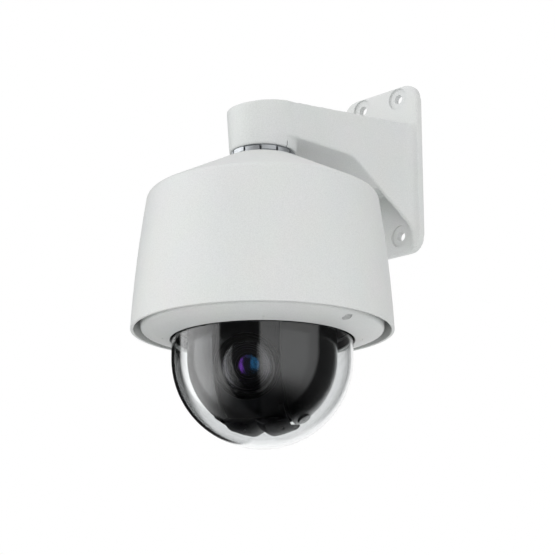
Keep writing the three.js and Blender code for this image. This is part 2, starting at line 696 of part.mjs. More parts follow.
place('chassis_plate', cut(join(chassisBody, ...posts), ...chassisHoles), CAST, camera);

const bearingTopH = BEARING_H + BEARING_HEIGHT;
const racePitchR = BEARING_R - 3.4;
place('pan_bearing_outer', tube(racePitchR, BEARING_R, BEARING_H, bearingTopH, 20), STEEL, camera);
const innerRace = tube(PAN_SHAFT_R + GAP, racePitchR - GAP, BEARING_H, bearingTopH, 20);
place('pan_bearing_inner', innerRace, STEEL, head);

const motorBottomH = CHASSIS_TOP_H + GAP;
place('pan_motor', turned([
  [2.8, motorBottomH],
  [PAN_MOTOR_R, motorBottomH],
  [PAN_MOTOR_R, motorBottomH + PAN_MOTOR_HEIGHT],
  [0, motorBottomH + PAN_MOTOR_HEIGHT],
  [0, motorBottomH + 10],
  [2.8, motorBottomH + 10],
], 20), MOTOR, camera, -beltSpan);
place('pan_motor_pulley', turned([
  [0, PAN_PULLEY_H],
  [PAN_PINION_R, PAN_PULLEY_H],
  [PAN_PINION_R, PAN_PULLEY_TOP_H],
  [2.5, PAN_PULLEY_TOP_H],
  [2.5, motorBottomH + 10 - GAP],
  [0, motorBottomH + 10 - GAP],
], 18), STEEL, camera, -beltSpan);
place(
  'pan_belt',
  belt(PAN_PULLEY_R, PAN_PINION_R, beltSpan, PAN_PULLEY_H + 1, PAN_PULLEY_TOP_H - 1).rotateZ(Math.PI),
  RUBBER, camera,
);

const fanH = CHASSIS_TOP_H + GAP;
const fanBore = FAN_HALF - 1.5;
const fanHub = 6.5;
function fanFrame() {
  const shell = cut(
    block(-FAN_HALF, FAN_HALF, -FAN_HALF, FAN_HALF, fanH, fanH + FAN_HEIGHT),
    rod(fanBore, fanH - 1, fanH + FAN_HEIGHT + 1, 24),
  );
  const hub = rod(fanHub, fanH, fanH + 1.2, 16);
  const spokes = [30, 150, 270].map((turn) =>
    block(fanHub - 1, fanBore + 0.8, -1, 1, fanH, fanH + 1.2).rotateZ(turn * DEG));
  return join(shell, hub, ...spokes);
}
function fanRotor() {
  const low = fanH + 1.2 + GAP;
  const high = fanH + FAN_HEIGHT - 0.7;
  const blades = [];
  for (let i = 0; i < 5; i += 1) {
    const blade = block(fanHub - 1.5, fanBore - 1, -0.6, 0.6, -3.2, 3.2).rotateX(0.6);
    blades.push(blade.translate(0, 0, (low + high) / 2).rotateZ((72 * i) * DEG));
  }
  return join(rod(fanHub, low, high, 16), ...blades);
}
place('fan_frame', fanFrame(), BLACK, camera, 0, fanY);
place('fan_rotor', fanRotor(), BLACK, camera, 0, fanY);

// The heater's fins stand in the fan's air stream, just under the plate.
function heater() {
  const body = block(-14, 14, -10, 10, CHASSIS_H - GAP - 9, CHASSIS_H - GAP);
  const slots = [-10, -5, 0, 5, 10].map((x) =>
    block(x - 1.2, x + 1.2, -11, 11, CHASSIS_H - 10.5, CHASSIS_H - 3));
  return cut(body, ...slots);
}
place('heater', heater(), STEEL, camera, 0, fanY);

place('main_board', tube(SLIP_RING_R + 8, CAN_R - 12, BOARD_H, BOARD_H + BOARD, 24), BOARD_GREEN, camera);
const onBoard = BOARD_H + BOARD + GAP;
place('network_jack', cut(
  block(-8, 8, -10.5, 10.5, onBoard, onBoard + 13),
  block(-6, 6, -11.5, 3, onBoard + 3, onBoard + 11),
), STEEL, camera, CAN_R - 58, 14);

place('slip_ring_stator', turned([
  [SLIP_RING_R + GAP, BOSS_TOP_H + GAP],
  [bossR, BOSS_TOP_H + GAP],
  [bossR, BOSS_TOP_H + GAP + 2],
  [SLIP_RING_R + 5, BOSS_TOP_H + GAP + 2],
  [SLIP_RING_R + 5, BOSS_TOP_H + 24],
  [0, BOSS_TOP_H + 24],
  [0, BOSS_TOP_H + 22],
  [SLIP_RING_R + GAP, BOSS_TOP_H + 22],
], 20), BLACK, camera);

// ---------------------------------------------------------------- pan head

const yokeTopH = YOKE_H + YOKE_PLATE;
place('slip_ring_rotor', turned([
  [3, YOKE_H + 1],
  [SLIP_RING_R, YOKE_H + 1],
  [SLIP_RING_R, BOSS_TOP_H + 22 - GAP],
  [3, BOSS_TOP_H + 22 - GAP],
], 16), COPPER, head);

place('pan_shaft', turned([
  [SLIP_RING_R + GAP, yokeTopH + GAP],
  [BEARING_R, yokeTopH + GAP],
  [BEARING_R, PAN_PULLEY_H - GAP],
  [PAN_SHAFT_R, PAN_PULLEY_H - GAP],
  [PAN_SHAFT_R, PAN_PULLEY_TOP_H + GAP],
  [BEARING_R - 5, PAN_PULLEY_TOP_H + GAP],
  [BEARING_R - 5, BEARING_H - GAP],
  [PAN_SHAFT_R, BEARING_H - GAP],
  [PAN_SHAFT_R, BEARING_H + BEARING_HEIGHT + GAP],
  [BEARING_R - 5, BEARING_H + BEARING_HEIGHT + GAP],
  [BEARING_R - 5, BEARING_H + BEARING_HEIGHT + 3],
  [SLIP_RING_R + GAP, BEARING_H + BEARING_HEIGHT + 3],
], 20), CAST, head);
place('pan_pulley', tube(PAN_SHAFT_R + GAP, PAN_PULLEY_R, PAN_PULLEY_H, PAN_PULLEY_TOP_H), STEEL, head);

place('yoke_base', tube(SLIP_RING_R + GAP, CHEEK_R - CHEEK_WALL - 0.9, YOKE_H, yokeTopH), CAST, head);

const armTopH = YOKE_H - GAP;
function yokeArm(side) {
  const shape = new THREE.Shape();
  shape.moveTo(-ARM_HALF_Y, armTopH);
  shape.lineTo(-ARM_HALF_Y, TILT_H);
  shape.absarc(0, TILT_H, ARM_HALF_Y, Math.PI, 2 * Math.PI, false);
  shape.lineTo(ARM_HALF_Y, armTopH);
  const web = sidePrism(shape, ARM_IN, ARM_OUT, 6);
  const foot = block(ARM_IN, PULLEY_OUT, -ARM_HALF_Y, ARM_HALF_Y, armTopH - 3, armTopH);
  const bore = crossRod(BUSH_R + GAP, ARM_IN - 1, ARM_OUT + 1, 20).translate(0, 0, TILT_H);
  const arm = cut(join(web, foot), bore);
  return side > 0 ? arm : arm.rotateZ(Math.PI);
}
const SIDES = [['right', 1], ['left', -1]];
for (const [label, side] of SIDES) {
  place(`yoke_arm_${label}`, yokeArm(side), CAST, head);
  const bush = cut(
    crossRod(BUSH_R, ARM_IN, ARM_OUT, 20),
    crossRod(TILT_SHAFT_R + GAP, ARM_IN - 1, ARM_OUT + 1, 16),
  );
  place(`tilt_bush_${label}`, side > 0 ? bush : bush.rotateZ(Math.PI), COPPER, head, 0, 0, TILT_H);
}

// Each cheek cover is the part of a domed shell that lies outside the drum's slot.
function cheekCover(side) {
  const inner = CHEEK_R - CHEEK_WALL;
  const steps = 8;
  const outside = [];
  const inside = [];
  for (let i = 0; i <= steps; i += 1) {
    const angle = (Math.PI / 2) * (i / steps);
    outside.push([CHEEK_R * Math.cos(angle), TILT_H - CHEEK_R * Math.sin(angle)]);
    inside.push([inner * Math.cos(angle), TILT_H - inner * Math.sin(angle)]);
  }
  outside[steps][0] = 0;
  inside[steps][0] = 0;
  const shell = turned([
    [inner - 7, armTopH],
    [CHEEK_R, armTopH],
    ...outside,
    ...inside.reverse(),
    [inner, armTopH - 2],
    [inner - 7, armTopH - 2],
  ]);
  const reach = CHEEK_R + 1;
  const window = block(SLOT_HALF, reach, -reach, reach, TILT_H - reach, armTopH + 1);
  const footHalf = ARM_HALF_Y + 1;
  const relief = block(SLOT_HALF - 1, PULLEY_OUT + RUN, -footHalf, footHalf, armTopH - 4, armTopH + 1);
  const cheek = cut(common(shell, window), relief);
  return side > 0 ? cheek : cheek.rotateZ(Math.PI);
}
for (const [label, side] of SIDES) {
  place(`cheek_cover_${label}`, cheekCover(side), GLOSS_BLACK, head);
}

const tiltMotorH = TILT_H + TILT_BELT_SPAN;
const motorPlateHalf = TILT_MOTOR_R + 2;
place('tilt_motor_bracket', cut(
  block(
    MOTOR_PLATE_IN, MOTOR_PLATE_OUT,
    -motorPlateHalf, motorPlateHalf,
    tiltMotorH - motorPlateHalf, armTopH,
  ),
  crossRod(3, MOTOR_PLATE_IN - 1, MOTOR_PLATE_OUT + 1).translate(0, 0, tiltMotorH),
), CAST, head);
place('tilt_motor', turned([
  [1.8, MOTOR_IN],
  [TILT_MOTOR_R, MOTOR_IN],
  [TILT_MOTOR_R, MOTOR_OUT],
  [0, MOTOR_OUT],
  [0, MOTOR_IN + 7],
  [1.8, MOTOR_IN + 7],
], 16).rotateY(Math.PI / 2), MOTOR, head, 0, 0, tiltMotorH);
place('tilt_motor_pulley', turned([
  [0, PULLEY_IN],
  [TILT_PINION_R, PULLEY_IN],
  [TILT_PINION_R, PULLEY_OUT],
  [1.5, PULLEY_OUT],
  [1.5, MOTOR_IN + 7 - GAP],
  [0, MOTOR_IN + 7 - GAP],
], 14).rotateY(Math.PI / 2), STEEL, head, 0, 0, tiltMotorH);
place(
  'tilt_belt',
  belt(TILT_PULLEY_R, TILT_PINION_R, TILT_BELT_SPAN, PULLEY_IN + 0.7, PULLEY_OUT - 0.7)
    .applyMatrix4(SIDE_VIEW).rotateX(Math.PI / 2),
  RUBBER, head, 0, 0, TILT_H,
);

// ---------------------------------------------------------------- tilting drum and lens

// In the eye's group the lens looks along -Y and the tilt axis is X.
const blockFront = -(DRUM_R - DRUM_WALL - 30);
const guideR = 15;
function zoomHousing() {
  const body = block(
    -ZOOM_BLOCK_HALF_X, ZOOM_BLOCK_HALF_X,
    blockFront, ZOOM_BLOCK_BACK,
    -ZOOM_BLOCK_HALF_Z, ZOOM_BLOCK_HALF_Z,
  );
  const guide = rod(guideR, blockFront - 1, ZOOM_BLOCK_BACK - 3, 28).rotateX(-Math.PI / 2);
  const backWindow = rod(8, ZOOM_BLOCK_BACK - 4, ZOOM_BLOCK_BACK + 1, 16).rotateX(-Math.PI / 2);
  return cut(body, guide, backWindow);
}
place('zoom_housing', zoomHousing(), BLACK, eye);

// A turned piece on the lens axis, with depth measured towards the front.
const onLensAxis = (corners, sides) => turned(corners, sides).rotateX(Math.PI / 2);
const barrelR = LENS_GLASS_R + 1.6;
const ringBack = LENS_REACH - LENS_RING_DEPTH;
place('lens_ring', onLensAxis([
  [guideR + 1, -blockFront + GAP],
  [barrelR, -blockFront + GAP],
  [barrelR, ringBack],
  [LENS_RING_R, ringBack],
  [LENS_RING_R, LENS_REACH - 1],
  [LENS_RING_R - 1, LENS_REACH],
  [LENS_GLASS_R + GAP, LENS_REACH - 1.5],
  [LENS_GLASS_R + GAP, ringBack + 1.5],
  [guideR + 1, ringBack + 1.5],
], 28), BLACK, eye);

function frontGlass() {
  const sphere = (LENS_GLASS_R ** 2 + GLASS_CROWN ** 2) / (2 * GLASS_CROWN);
  const sweep = Math.asin(LENS_GLASS_R / sphere);
  const base = ringBack + 1.5 + GAP;
  const crown = [];
  for (let i = 0; i <= 4; i += 1) {
    const angle = sweep * (1 - i / 4);
    crown.push([sphere * Math.sin(angle), base + 0.7 + sphere * Math.cos(angle) - sphere + GLASS_CROWN]);
  }
  return onLensAxis([[0, base], [LENS_GLASS_R, base], ...crown], 24);
}
place('front_lens', frontGlass(), LENS, eye);

// The drum is a belt of a sphere with a hole for the barrel.
function lensDrum() {
  const inner = DRUM_R - DRUM_WALL;
  const arc = (radius, steps) => {
    const reach = Math.asin(DRUM_HALF / radius);
    const points = [];
    for (let i = 0; i <= steps; i += 1) {
      const angle = -reach + (2 * reach * i) / steps;
      points.push([radius * Math.cos(angle), radius * Math.sin(angle)]);
    }
    return points;
  };
  const band = turned([...arc(DRUM_R, 4), ...arc(inner, 4).reverse()]).rotateY(Math.PI / 2);
  const front = 1.2 * DRUM_R;
  const top = 75 * DEG;
  const bottom = -(CHIN_TO_DEG + 8) * DEG;
  const wedge = new THREE.Shape();
  wedge.moveTo(0, 0);
  for (let i = 0; i <= 6; i += 1) {
    const angle = Math.PI - top + ((top - bottom) * i) / 6;
    wedge.lineTo(1.6 * front * Math.cos(angle), 1.6 * front * Math.sin(angle));
  }
  const piece = common(band, sidePrism(wedge, -DRUM_HALF - 1, DRUM_HALF + 1));
  const barrelHole = rod(barrelR + GAP, 10, front, 28).rotateX(Math.PI / 2);
  const ringSeat = rod(LENS_RING_R + GAP, ringBack - GAP, front, 28).rotateX(Math.PI / 2);
  return cut(piece, barrelHole, ringSeat);
}
place('lens_drum', lensDrum(), GLOSS_BLACK, eye);

// The chin is a pair of lobes under the lens, outside the drum.
function drumChin() {
  const seat = DRUM_R + GAP;
  const edge = DRUM_HALF - 1;
  const ring = turned([
    [seat, -edge],
    [seat + 1.8, -edge],
    [seat + CHIN_LOBE * 0.75, -edge * 0.6, 8],
    [seat + CHIN_LOBE, -edge * 0.3, 6],
    [seat + 2.4, 0, 1],
    [seat + CHIN_LOBE, edge * 0.3, 6],
    [seat + CHIN_LOBE * 0.75, edge * 0.6, 8],
    [seat + 1.8, edge],
    [seat, edge],
  ]).rotateY(Math.PI / 2);
  const reach = 2 * DRUM_R;
  const wedge = new THREE.Shape();
  wedge.moveTo(0, 0);
  for (const angle of [CHIN_FROM_DEG, (CHIN_FROM_DEG + CHIN_TO_DEG) / 2, CHIN_TO_DEG]) {
    wedge.lineTo(-reach * Math.cos(angle * DEG), -reach * Math.sin(angle * DEG));
  }
  return common(ring, sidePrism(wedge, -edge - 1, edge + 1));
}
place('drum_chin', drumChin(), GLOSS_BLACK, eye);

for (const [label, side] of SIDES) {
  const end = side > 0 ? PULLEY_OUT + GAP : ARM_OUT + RUN;
  const shaft = turned([
    [0, ZOOM_BLOCK_HALF_X + GAP],
    [11, ZOOM_BLOCK_HALF_X + GAP],
    [11, ARM_IN - RUN],
    [TILT_SHAFT_R, ARM_IN - RUN],
    [TILT_SHAFT_R, end],
    [0, end],
  ], 20).rotateY(Math.PI / 2);
  place(`tilt_shaft_${label}`, side > 0 ? shaft : shaft.rotateZ(Math.PI), STEEL, eye);
}
place('tilt_pulley', cut(
  crossRod(TILT_PULLEY_R, PULLEY_IN, PULLEY_OUT, 28),
  crossRod(TILT_SHAFT_R + GAP, PULLEY_IN - 1, PULLEY_OUT + 1),
), STEEL, eye);

place('image_sensor_board', block(-20, 20, 0, BOARD, -20, 20), BOARD_GREEN, eye, 0, ZOOM_BLOCK_BACK + GAP);

// Each lens group is a ring with its glass between the ring's walls, running in the guide bore.
const groupR = guideR - GAP;
const lensGroup = (length, bulge) => onLensAxis([
  [0, -length / 2 + bulge],
  [groupR - 3, -length / 2 + 2],
  [groupR - 3, -length / 2],
  [groupR, -length / 2],
  [groupR, length / 2],
  [groupR - 3, length / 2],
  [groupR - 3, length / 2 - 2],
  [0, length / 2 - bulge],
], 16);
place('zoom_lens_group', lensGroup(9, 0.5), LENS, eye, 0, blockFront + ZOOM_TRAVEL / 2 + 8);
place('focus_lens_group', lensGroup(7, 0.3), LENS, eye, 0, ZOOM_BLOCK_BACK - 3 - FOCUS_TRAVEL / 2 - 6);

export default product;
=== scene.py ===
"""Shapes and finishes of an outdoor pan-tilt-zoom dome camera on a cast wall bracket.

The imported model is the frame: X runs along the wall, +Y points into it, +Z is up, in metres.
Inside the classes below sizes are millimetres. Turned pieces are drawn as half sections of
radius and height and carried to their place by one of the frames in Axes.
"""

import logging
import math
from dataclasses import dataclass, field
from enum import Enum

import bpy
from mathutils import Matrix, Vector


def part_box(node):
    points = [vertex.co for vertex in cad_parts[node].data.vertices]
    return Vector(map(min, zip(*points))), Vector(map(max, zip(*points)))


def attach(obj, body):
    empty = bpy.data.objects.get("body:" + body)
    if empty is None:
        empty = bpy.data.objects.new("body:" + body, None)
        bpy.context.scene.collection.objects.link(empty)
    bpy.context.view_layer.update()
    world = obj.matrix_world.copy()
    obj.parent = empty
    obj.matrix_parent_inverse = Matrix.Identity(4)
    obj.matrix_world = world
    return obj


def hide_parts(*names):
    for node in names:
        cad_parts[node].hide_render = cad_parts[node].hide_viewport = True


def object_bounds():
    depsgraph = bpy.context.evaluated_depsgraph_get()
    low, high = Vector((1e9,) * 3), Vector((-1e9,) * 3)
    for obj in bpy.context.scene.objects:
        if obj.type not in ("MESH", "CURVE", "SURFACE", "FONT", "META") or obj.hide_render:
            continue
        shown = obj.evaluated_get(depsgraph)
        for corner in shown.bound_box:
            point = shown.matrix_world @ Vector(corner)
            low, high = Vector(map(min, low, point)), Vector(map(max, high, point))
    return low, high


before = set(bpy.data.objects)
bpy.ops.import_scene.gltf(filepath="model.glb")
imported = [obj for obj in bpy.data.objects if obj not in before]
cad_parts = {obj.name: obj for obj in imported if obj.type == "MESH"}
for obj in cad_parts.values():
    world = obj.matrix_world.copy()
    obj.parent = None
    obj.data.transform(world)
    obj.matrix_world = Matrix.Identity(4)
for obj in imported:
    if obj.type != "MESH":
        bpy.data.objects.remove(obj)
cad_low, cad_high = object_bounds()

LOG = logging.getLogger("dome_camera")
MM = 0.001

Point = tuple[float, float]
Corner = tuple[float, ...]
Piece = bpy.types.Object
Node = bpy.types.Node
Socket = bpy.types.NodeSocket
Material = bpy.types.Material


class Solid(Enum):
    """How a tool changes the piece it meets."""

    CUT = "DIFFERENCE"
    ADD = "UNION"
    KEEP = "INTERSECT"


class Side(Enum):
    """The two sides of the tilting head, seen from behind the lens."""

    RIGHT = 1
    LEFT = -1


# ------------------------------------------------------------------ workshop


def clear_selection() -> None:
    """Leaves edit mode and drops every selected object."""
    if bpy.context.object is not None and bpy.context.object.mode != "OBJECT":
        bpy.ops.object.mode_set(mode="OBJECT")
    bpy.ops.object.select_all(action="DESELECT")


def pick(piece: Piece) -> None:
    """Makes one object the only selected and active one.

    Args:
        piece: The object to work on.
    """
    clear_selection()
    piece.select_set(True)
    bpy.context.view_layer.objects.active = piece


def named(name: str) -> Piece:
    """Names the object that was just added.

    Args:
        name: The piece's name.

    Returns:
        The active object.
    """
    piece = bpy.context.object
    piece.name = name
    piece.data.name = name
    return piece


def settle(piece: Piece, place: Matrix) -> Piece:
    """Carries a piece by a matrix and applies it, so that the place is in the mesh.

    Args:
        piece: The object to carry.
        place: Where its own axes go.

    Returns:
        The same object, at the origin and unturned.
    """
    pick(piece)
    piece.matrix_world = place @ piece.matrix_world
    bpy.ops.object.transform_apply(location=True, rotation=True, scale=True)
    return piece


def rounded(corners: list[Corner], steps: int) -> list[Point]:
    """Rounds the corners of a closed section.

    Args:
        corners: Radius, height and, where it is rounded, the rounding of each corner.
        steps: Straight steps in each rounding.

    Returns:
        The section's points in order.
    """
    points: list[Point] = []
    for i, corner in enumerate(corners):
        here = Vector(corner[:2])
        if len(corner) < 3 or corner[2] == 0:
            points.append((here.x, here.y))
            continue
        back = Vector(corners[i - 1][:2]) - here
        ahead = Vector(corners[(i + 1) % len(corners)][:2]) - here
        half = back.angle(ahead) / 2
        reach = min(corner[2] / math.tan(half), back.length * 0.49, ahead.length * 0.49)
        bend = reach * math.tan(half)
        centre = here + (back.normalized() + ahead.normalized()).normalized() * bend / math.sin(half)
        start = here + back.normalized() * reach - centre
        end = here + ahead.normalized() * reach - centre
        turn = start.angle_signed(end)
        for step in range(steps + 1):
            a = turn * step / steps
            spoke = Matrix.Rotation(-a, 2) @ start
            points.append((centre.x + spoke.x, centre.y + spoke.y))
    return points


def turned(
    name: str,
    corners: list[Corner],
    sides: int = 160,
    steps: int = 5,
    start: float = 0.0,
    sweep: float = 360.0,
) -> Piece:
    """Turns a closed half section round the local Z axis.

    Args:
        name: The piece's name.
        corners: The half section, as for rounded.
        sides: Steps in a whole turn.
        steps: Steps in each rounding.
        start: Where the section starts, in degrees from +X towards +Y.
        sweep: How far it is turned, in degrees.

    Returns:
        A closed mesh, in millimetres.
    """
    points = rounded(corners, steps)
    clear_selection()
    bpy.ops.mesh.primitive_circle_add(vertices=len(points), radius=1.0, fill_type="NOTHING")
    piece = named(name)
    heading = Matrix.Rotation(math.radians(start), 3, "Z")
    for vertex, (radius, height) in zip(piece.data.vertices, points):
        vertex.co = heading @ Vector((radius, 0.0, height))
    bpy.ops.object.mode_set(mode="EDIT")
    bpy.ops.mesh.select_mode(type="EDGE")
    bpy.ops.mesh.select_all(action="SELECT")
    bpy.ops.mesh.spin(
        steps=max(3, round(sides * sweep / 360.0)),
        angle=-math.radians(sweep),
        center=(0.0, 0.0, 0.0),
        axis=(0.0, 0.0, 1.0),
    )
    if sweep < 360.0:
        bpy.ops.mesh.select_all(action="DESELECT")
        bpy.ops.mesh.select_non_manifold()
        bpy.ops.mesh.edge_face_add()
    bpy.ops.mesh.select_all(action="SELECT")
    bpy.ops.mesh.remove_doubles(threshold=0.0004)
    bpy.ops.mesh.delete_loose(use_verts=True, use_edges=True, use_faces=False)
    bpy.ops.mesh.select_all(action="SELECT")
    bpy.ops.mesh.normals_make_consistent(inside=False)
    bpy.ops.object.mode_set(mode="OBJECT")
    return piece


def quarter(radius: float, centre: float, steps: int) -> list[Corner]:
    """Lower quarter circle of a half section, from the equator to the pole.

    Args:
        radius: The sphere's radius.
        centre: Height of its centre.
        steps: Steps along it.

    Returns:
        The points, ending on the axis.
    """
    angles = [math.pi / 2 * i / steps for i in range(steps)]
    points: list[Corner] = [
        (radius * math.cos(a), centre - radius * math.sin(a)) for a in angles
    ]
    return points + [(0.0, centre - radius)]


def rod(name: str, radius: float, low: float, high: float, sides: int = 48) -> Piece:
    """Adds a rod on the local Z axis, for cutting or joining.

    Args:
        name: The rod's name.
        radius: Its radius.
        low: Its lower end.
        high: Its upper end.
        sides: Faces round it.

    Returns:
        The rod, in millimetres.
    """
    clear_selection()
    bpy.ops.mesh.primitive_cylinder_add(
        vertices=sides, radius=radius, depth=high - low, location=(0.0, 0.0, (low + high) / 2)
    )
    return settle(named(name), Matrix.Identity(4))


def block(name: str, low: Corner, high: Corner) -> Piece:
    """Adds a box between two corners, for cutting or keeping.

    Args:
        name: The box's name.
        low: Its lowest corner.
        high: Its highest corner.

    Returns:
        The box, in millimetres.
    """
    clear_selection()
    near, far = Vector(low), Vector(high)
    bpy.ops.mesh.primitive_cube_add(size=1.0, location=(near + far) / 2)
    box = named(name)
    box.scale = far - near
    return settle(box, Matrix.Identity(4))


def modify(piece: Piece, kind: str, settings: dict[str, object]) -> None:
    """Adds a modifier and applies it.

    Args:
        piece: The piece.
        kind: The modifier's type.
        settings: Its own properties, in the order they are set.
    """
    pick(piece)
    modifier = piece.modifiers.new(kind.lower(), kind)
    for key, value in settings.items():
        setattr(modifier, key, value)
    bpy.ops.object.modifier_apply(modifier=modifier.name)


def combine(piece: Piece, tool: Piece, way: Solid) -> None:
    """Cuts, joins or keeps a piece by a tool, which is used up.

    Args:
        piece: The piece that stays.
        tool: The closed shape it meets.
        way: What the tool does.
    """
    modify(piece, "BOOLEAN", {"operation": way.value, "solver": "MANIFOLD", "object": tool})
    bpy.data.objects.remove(tool)


def soften(piece: Piece, width: float, segments: int = 3, angle: float = 40.0) -> None:
    """Rounds the sharp edges of a piece.

    Args:
        piece: The piece.
        width: How wide the rounding is, in the mesh's own unit.
        segments: Steps across it.
        angle: The least bend of an edge that is rounded, in degrees.
    """
    limit = math.radians(angle)
    modify(piece, "BEVEL", {
        "width": width, "segments": segments, "limit_method": "ANGLE", "angle_limit": limit,
    })


def join(pieces: list[Piece]) -> None:
    """Joins pieces into the last of them.

    Args:
        pieces: The pieces, of which the last one stays.
    """
    clear_selection()
    for piece in pieces:
        piece.select_set(True)
    bpy.context.view_layer.objects.active = pieces[-1]
    bpy.ops.object.join()


def ring_of(count: int, radius: float, start: float) -> list[Matrix]:
    """Places round the pan axis.

    Args:
        count: How many.
        radius: Their circle's radius.
        start: The first one's heading, in degrees from straight out of the wall.

    Returns:
        One matrix for each, turned to face along its heading.
    """
    places = []
    for i in range(count):
        heading = math.radians(start + 360.0 * i / count)
        spot = Vector((radius * math.sin(heading), -radius * math.cos(heading), 0.0))
        places.append(Matrix.Translation(spot) @ Matrix.Rotation(heading, 4, "Z"))
    return places


@dataclass(frozen=True)
class Axes:
    """The camera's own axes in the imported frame."""

    pan_rest: float = 31.0
    tilt_rest: float = 18.0
    tilt_height: float = -24.0

    def rim(self) -> Matrix:
        """Pan axis, with height measured from the shroud's rim.

        Returns:
            The frame, in millimetres.
        """
        low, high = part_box("sun_shroud")
        spot = Vector(((low.x + high.x) / 2, (low.y + high.y) / 2, low.z))
        return Matrix.Translation(spot) @ Matrix.Scale(MM, 4)

    def head(self) -> Matrix:
        """The same axis, turned with the head: the lens side is -Y."""
        return self.rim() @ Matrix.Rotation(math.radians(self.pan_rest), 4, "Z")

    def eye(self) -> Matrix:
        """Centre of the tilting eye: X is the tilt axis and the lens looks along -Y."""
        lift = Matrix.Translation((0.0, 0.0, self.tilt_height))
        return self.head() @ lift @ Matrix.Rotation(math.radians(self.tilt_rest), 4, "X")

    def across(self) -> Matrix:
        """The eye with a turned piece's Z axis laid along the tilt axis."""
        return self.eye() @ Matrix.Rotation(math.radians(90.0), 4, "Y")

    def lens(self) -> Matrix:
        """The eye with a turned piece's Z axis laid along the lens axis, towards the front."""
        return self.eye() @ Matrix.Rotation(math.radians(90.0), 4, "X")


AXES = Axes()


def hand_over(
    piece: Piece,
    body: str,
    material: Material,
    stands_for: tuple[str, ...] = (),
    smooth: float = 32.0,
) -> Piece:
    """Dresses a finished piece and lets it ride on its body.

    Args:
        piece: The piece, already in its place.
        body: The body that carries it.
        material: Its finish.
        stands_for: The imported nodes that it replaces.
        smooth: The least bend of an edge that stays sharp, in degrees.

    Returns:
        The same piece.
    """
    pick(piece)
    bpy.ops.object.shade_smooth_by_angle(angle=math.radians(smooth))
    piece.data.materials.clear()
    piece.data.materials.append(material)
    if stands_for:
        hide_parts(*stands_for)
    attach(piece, body)
    LOG.info("%s: %d faces, rides on %s", piece.name, len(piece.data.polygons), body)
    return piece


# ------------------------------------------------------------------ finishes


def linear(hex_colour: str) -> tuple[float, float, float, float]:
    """Turns an sRGB hex value to linear light.

    Args:
        hex_colour: Six hex digits.

    Returns:
        Linear red, green and blue, and alpha 1.
    """
    parts = [int(hex_colour[i : i + 2], 16) / 255.0 for i in (0, 2, 4)]
    red, green, blue = [p / 12.92 if p <= 0.04045 else ((p + 0.055) / 1.055) ** 2.4 for p in parts]
    return (red, green, blue, 1.0)


def per_mm(size: float) -> float:
    """Texture scale for features of a size in millimetres, on coordinates in metres."""
    return 1.0 / (size * MM)


def add_node(
    tree: bpy.types.NodeTree,
    kind: str,
    settings: dict[str, object] | None = None,
    values: dict[str | int, object] | None = None,
    links: dict[str | int, Socket] | None = None,
) -> Node:
    """Adds a node with its settings, input values and links.

    Args:
        tree: The node tree.
        kind: The node's type.
        settings: Its own properties.
        values: Values of its inputs.
        links: Sockets that feed its inputs.

    Returns:
        The node.
    """
    node = tree.nodes.new(kind)
    for key, value in (settings or {}).items():
        setattr(node, key, value)
    for key, value in (values or {}).items():
        node.inputs[key].default_value = value
    for key, socket in (links or {}).items():
        tree.links.new(socket, node.inputs[key])
    return node


class Finish:
    """A material being made, with the nodes that most finishes share."""

    def __init__(self, name: str) -> None:
        """Starts an empty material.

        Args:
            name: The material's name.
        """
        self.material = bpy.data.materials.new(name)
        self.material.use_nodes = True
        self.tree = self.material.node_tree
        self.tree.nodes.clear()
        self.where = add_node(self.tree, "ShaderNodeTexCoord").outputs["Object"]

    def noise(
        self, size: float, detail: float, roughness: float = 0.5, where: Socket | None = None
    ) -> Node:
        """Adds a cloudy pattern.

        Args:
            size: Size of its features in millimetres.
            detail: Finer layers on top of them.
            roughness: How strong those layers are.
            where: Coordinates, if not the object's own.

        Returns:
            The noise node.
        """
        return add_node(
            self.tree, "ShaderNodeTexNoise",
            values={"Scale": per_mm(size), "Detail": detail, "Roughness": roughness},
            links={"Vector": where or self.where},
        )

    def spread(self, value: Socket, low: float, high: float) -> Socket:
        """Spreads a value of 0 to 1 over a range.

        Args:
            value: The value.
            low: What 0 becomes.
            high: What 1 becomes.

        Returns:
            The spread value.
        """
        ends = {"To Min": low, "To Max": high}
        return add_node(self.tree, "ShaderNodeMapRange", {}, ends, {"Value": value}).outputs["Result"]

    def two_tone(self, value: Socket, first: str, second: str) -> Socket:
        """Slides from one sRGB hex colour to another as a value goes from 0 to 1.

        Args:
            value: The value.
            first: The colour at 0.
            second: The colour at 1.

        Returns:
            The colour.
        """
        ends = {"A": linear(first), "B": linear(second)}
        mix = add_node(self.tree, "ShaderNodeMix", {"data_type": "RGBA"}, ends, {"Factor": value})
        return mix.outputs["Result"]

    def bump(self, height: Socket, strength: float, depth: float) -> Socket:
        """Lets a pattern stand out of the surface.

        Args:
            height: The pattern.
            strength: How much of it shows.
            depth: Its full depth in metres.

        Returns:
            The bent normal.
        """
        size = {"Strength": strength, "Distance": depth}
        return add_node(self.tree, "ShaderNodeBump", {}, size, {"Height": height}).outputs["Normal"]

    def close(self, values: dict[str, object], links: dict[str, Socket]) -> Material:
        """Ends the tree in one principled surface.

        Args:
            values: Constants on its sockets.
            links: What feeds its other sockets.

        Returns:
            The finished material.
        """
        shader = add_node(self.tree, "ShaderNodeBsdfPrincipled", {}, values, links)
        add_node(self.tree, "ShaderNodeOutputMaterial", links={"Surface": shader.outputs[0]})
        return self.material


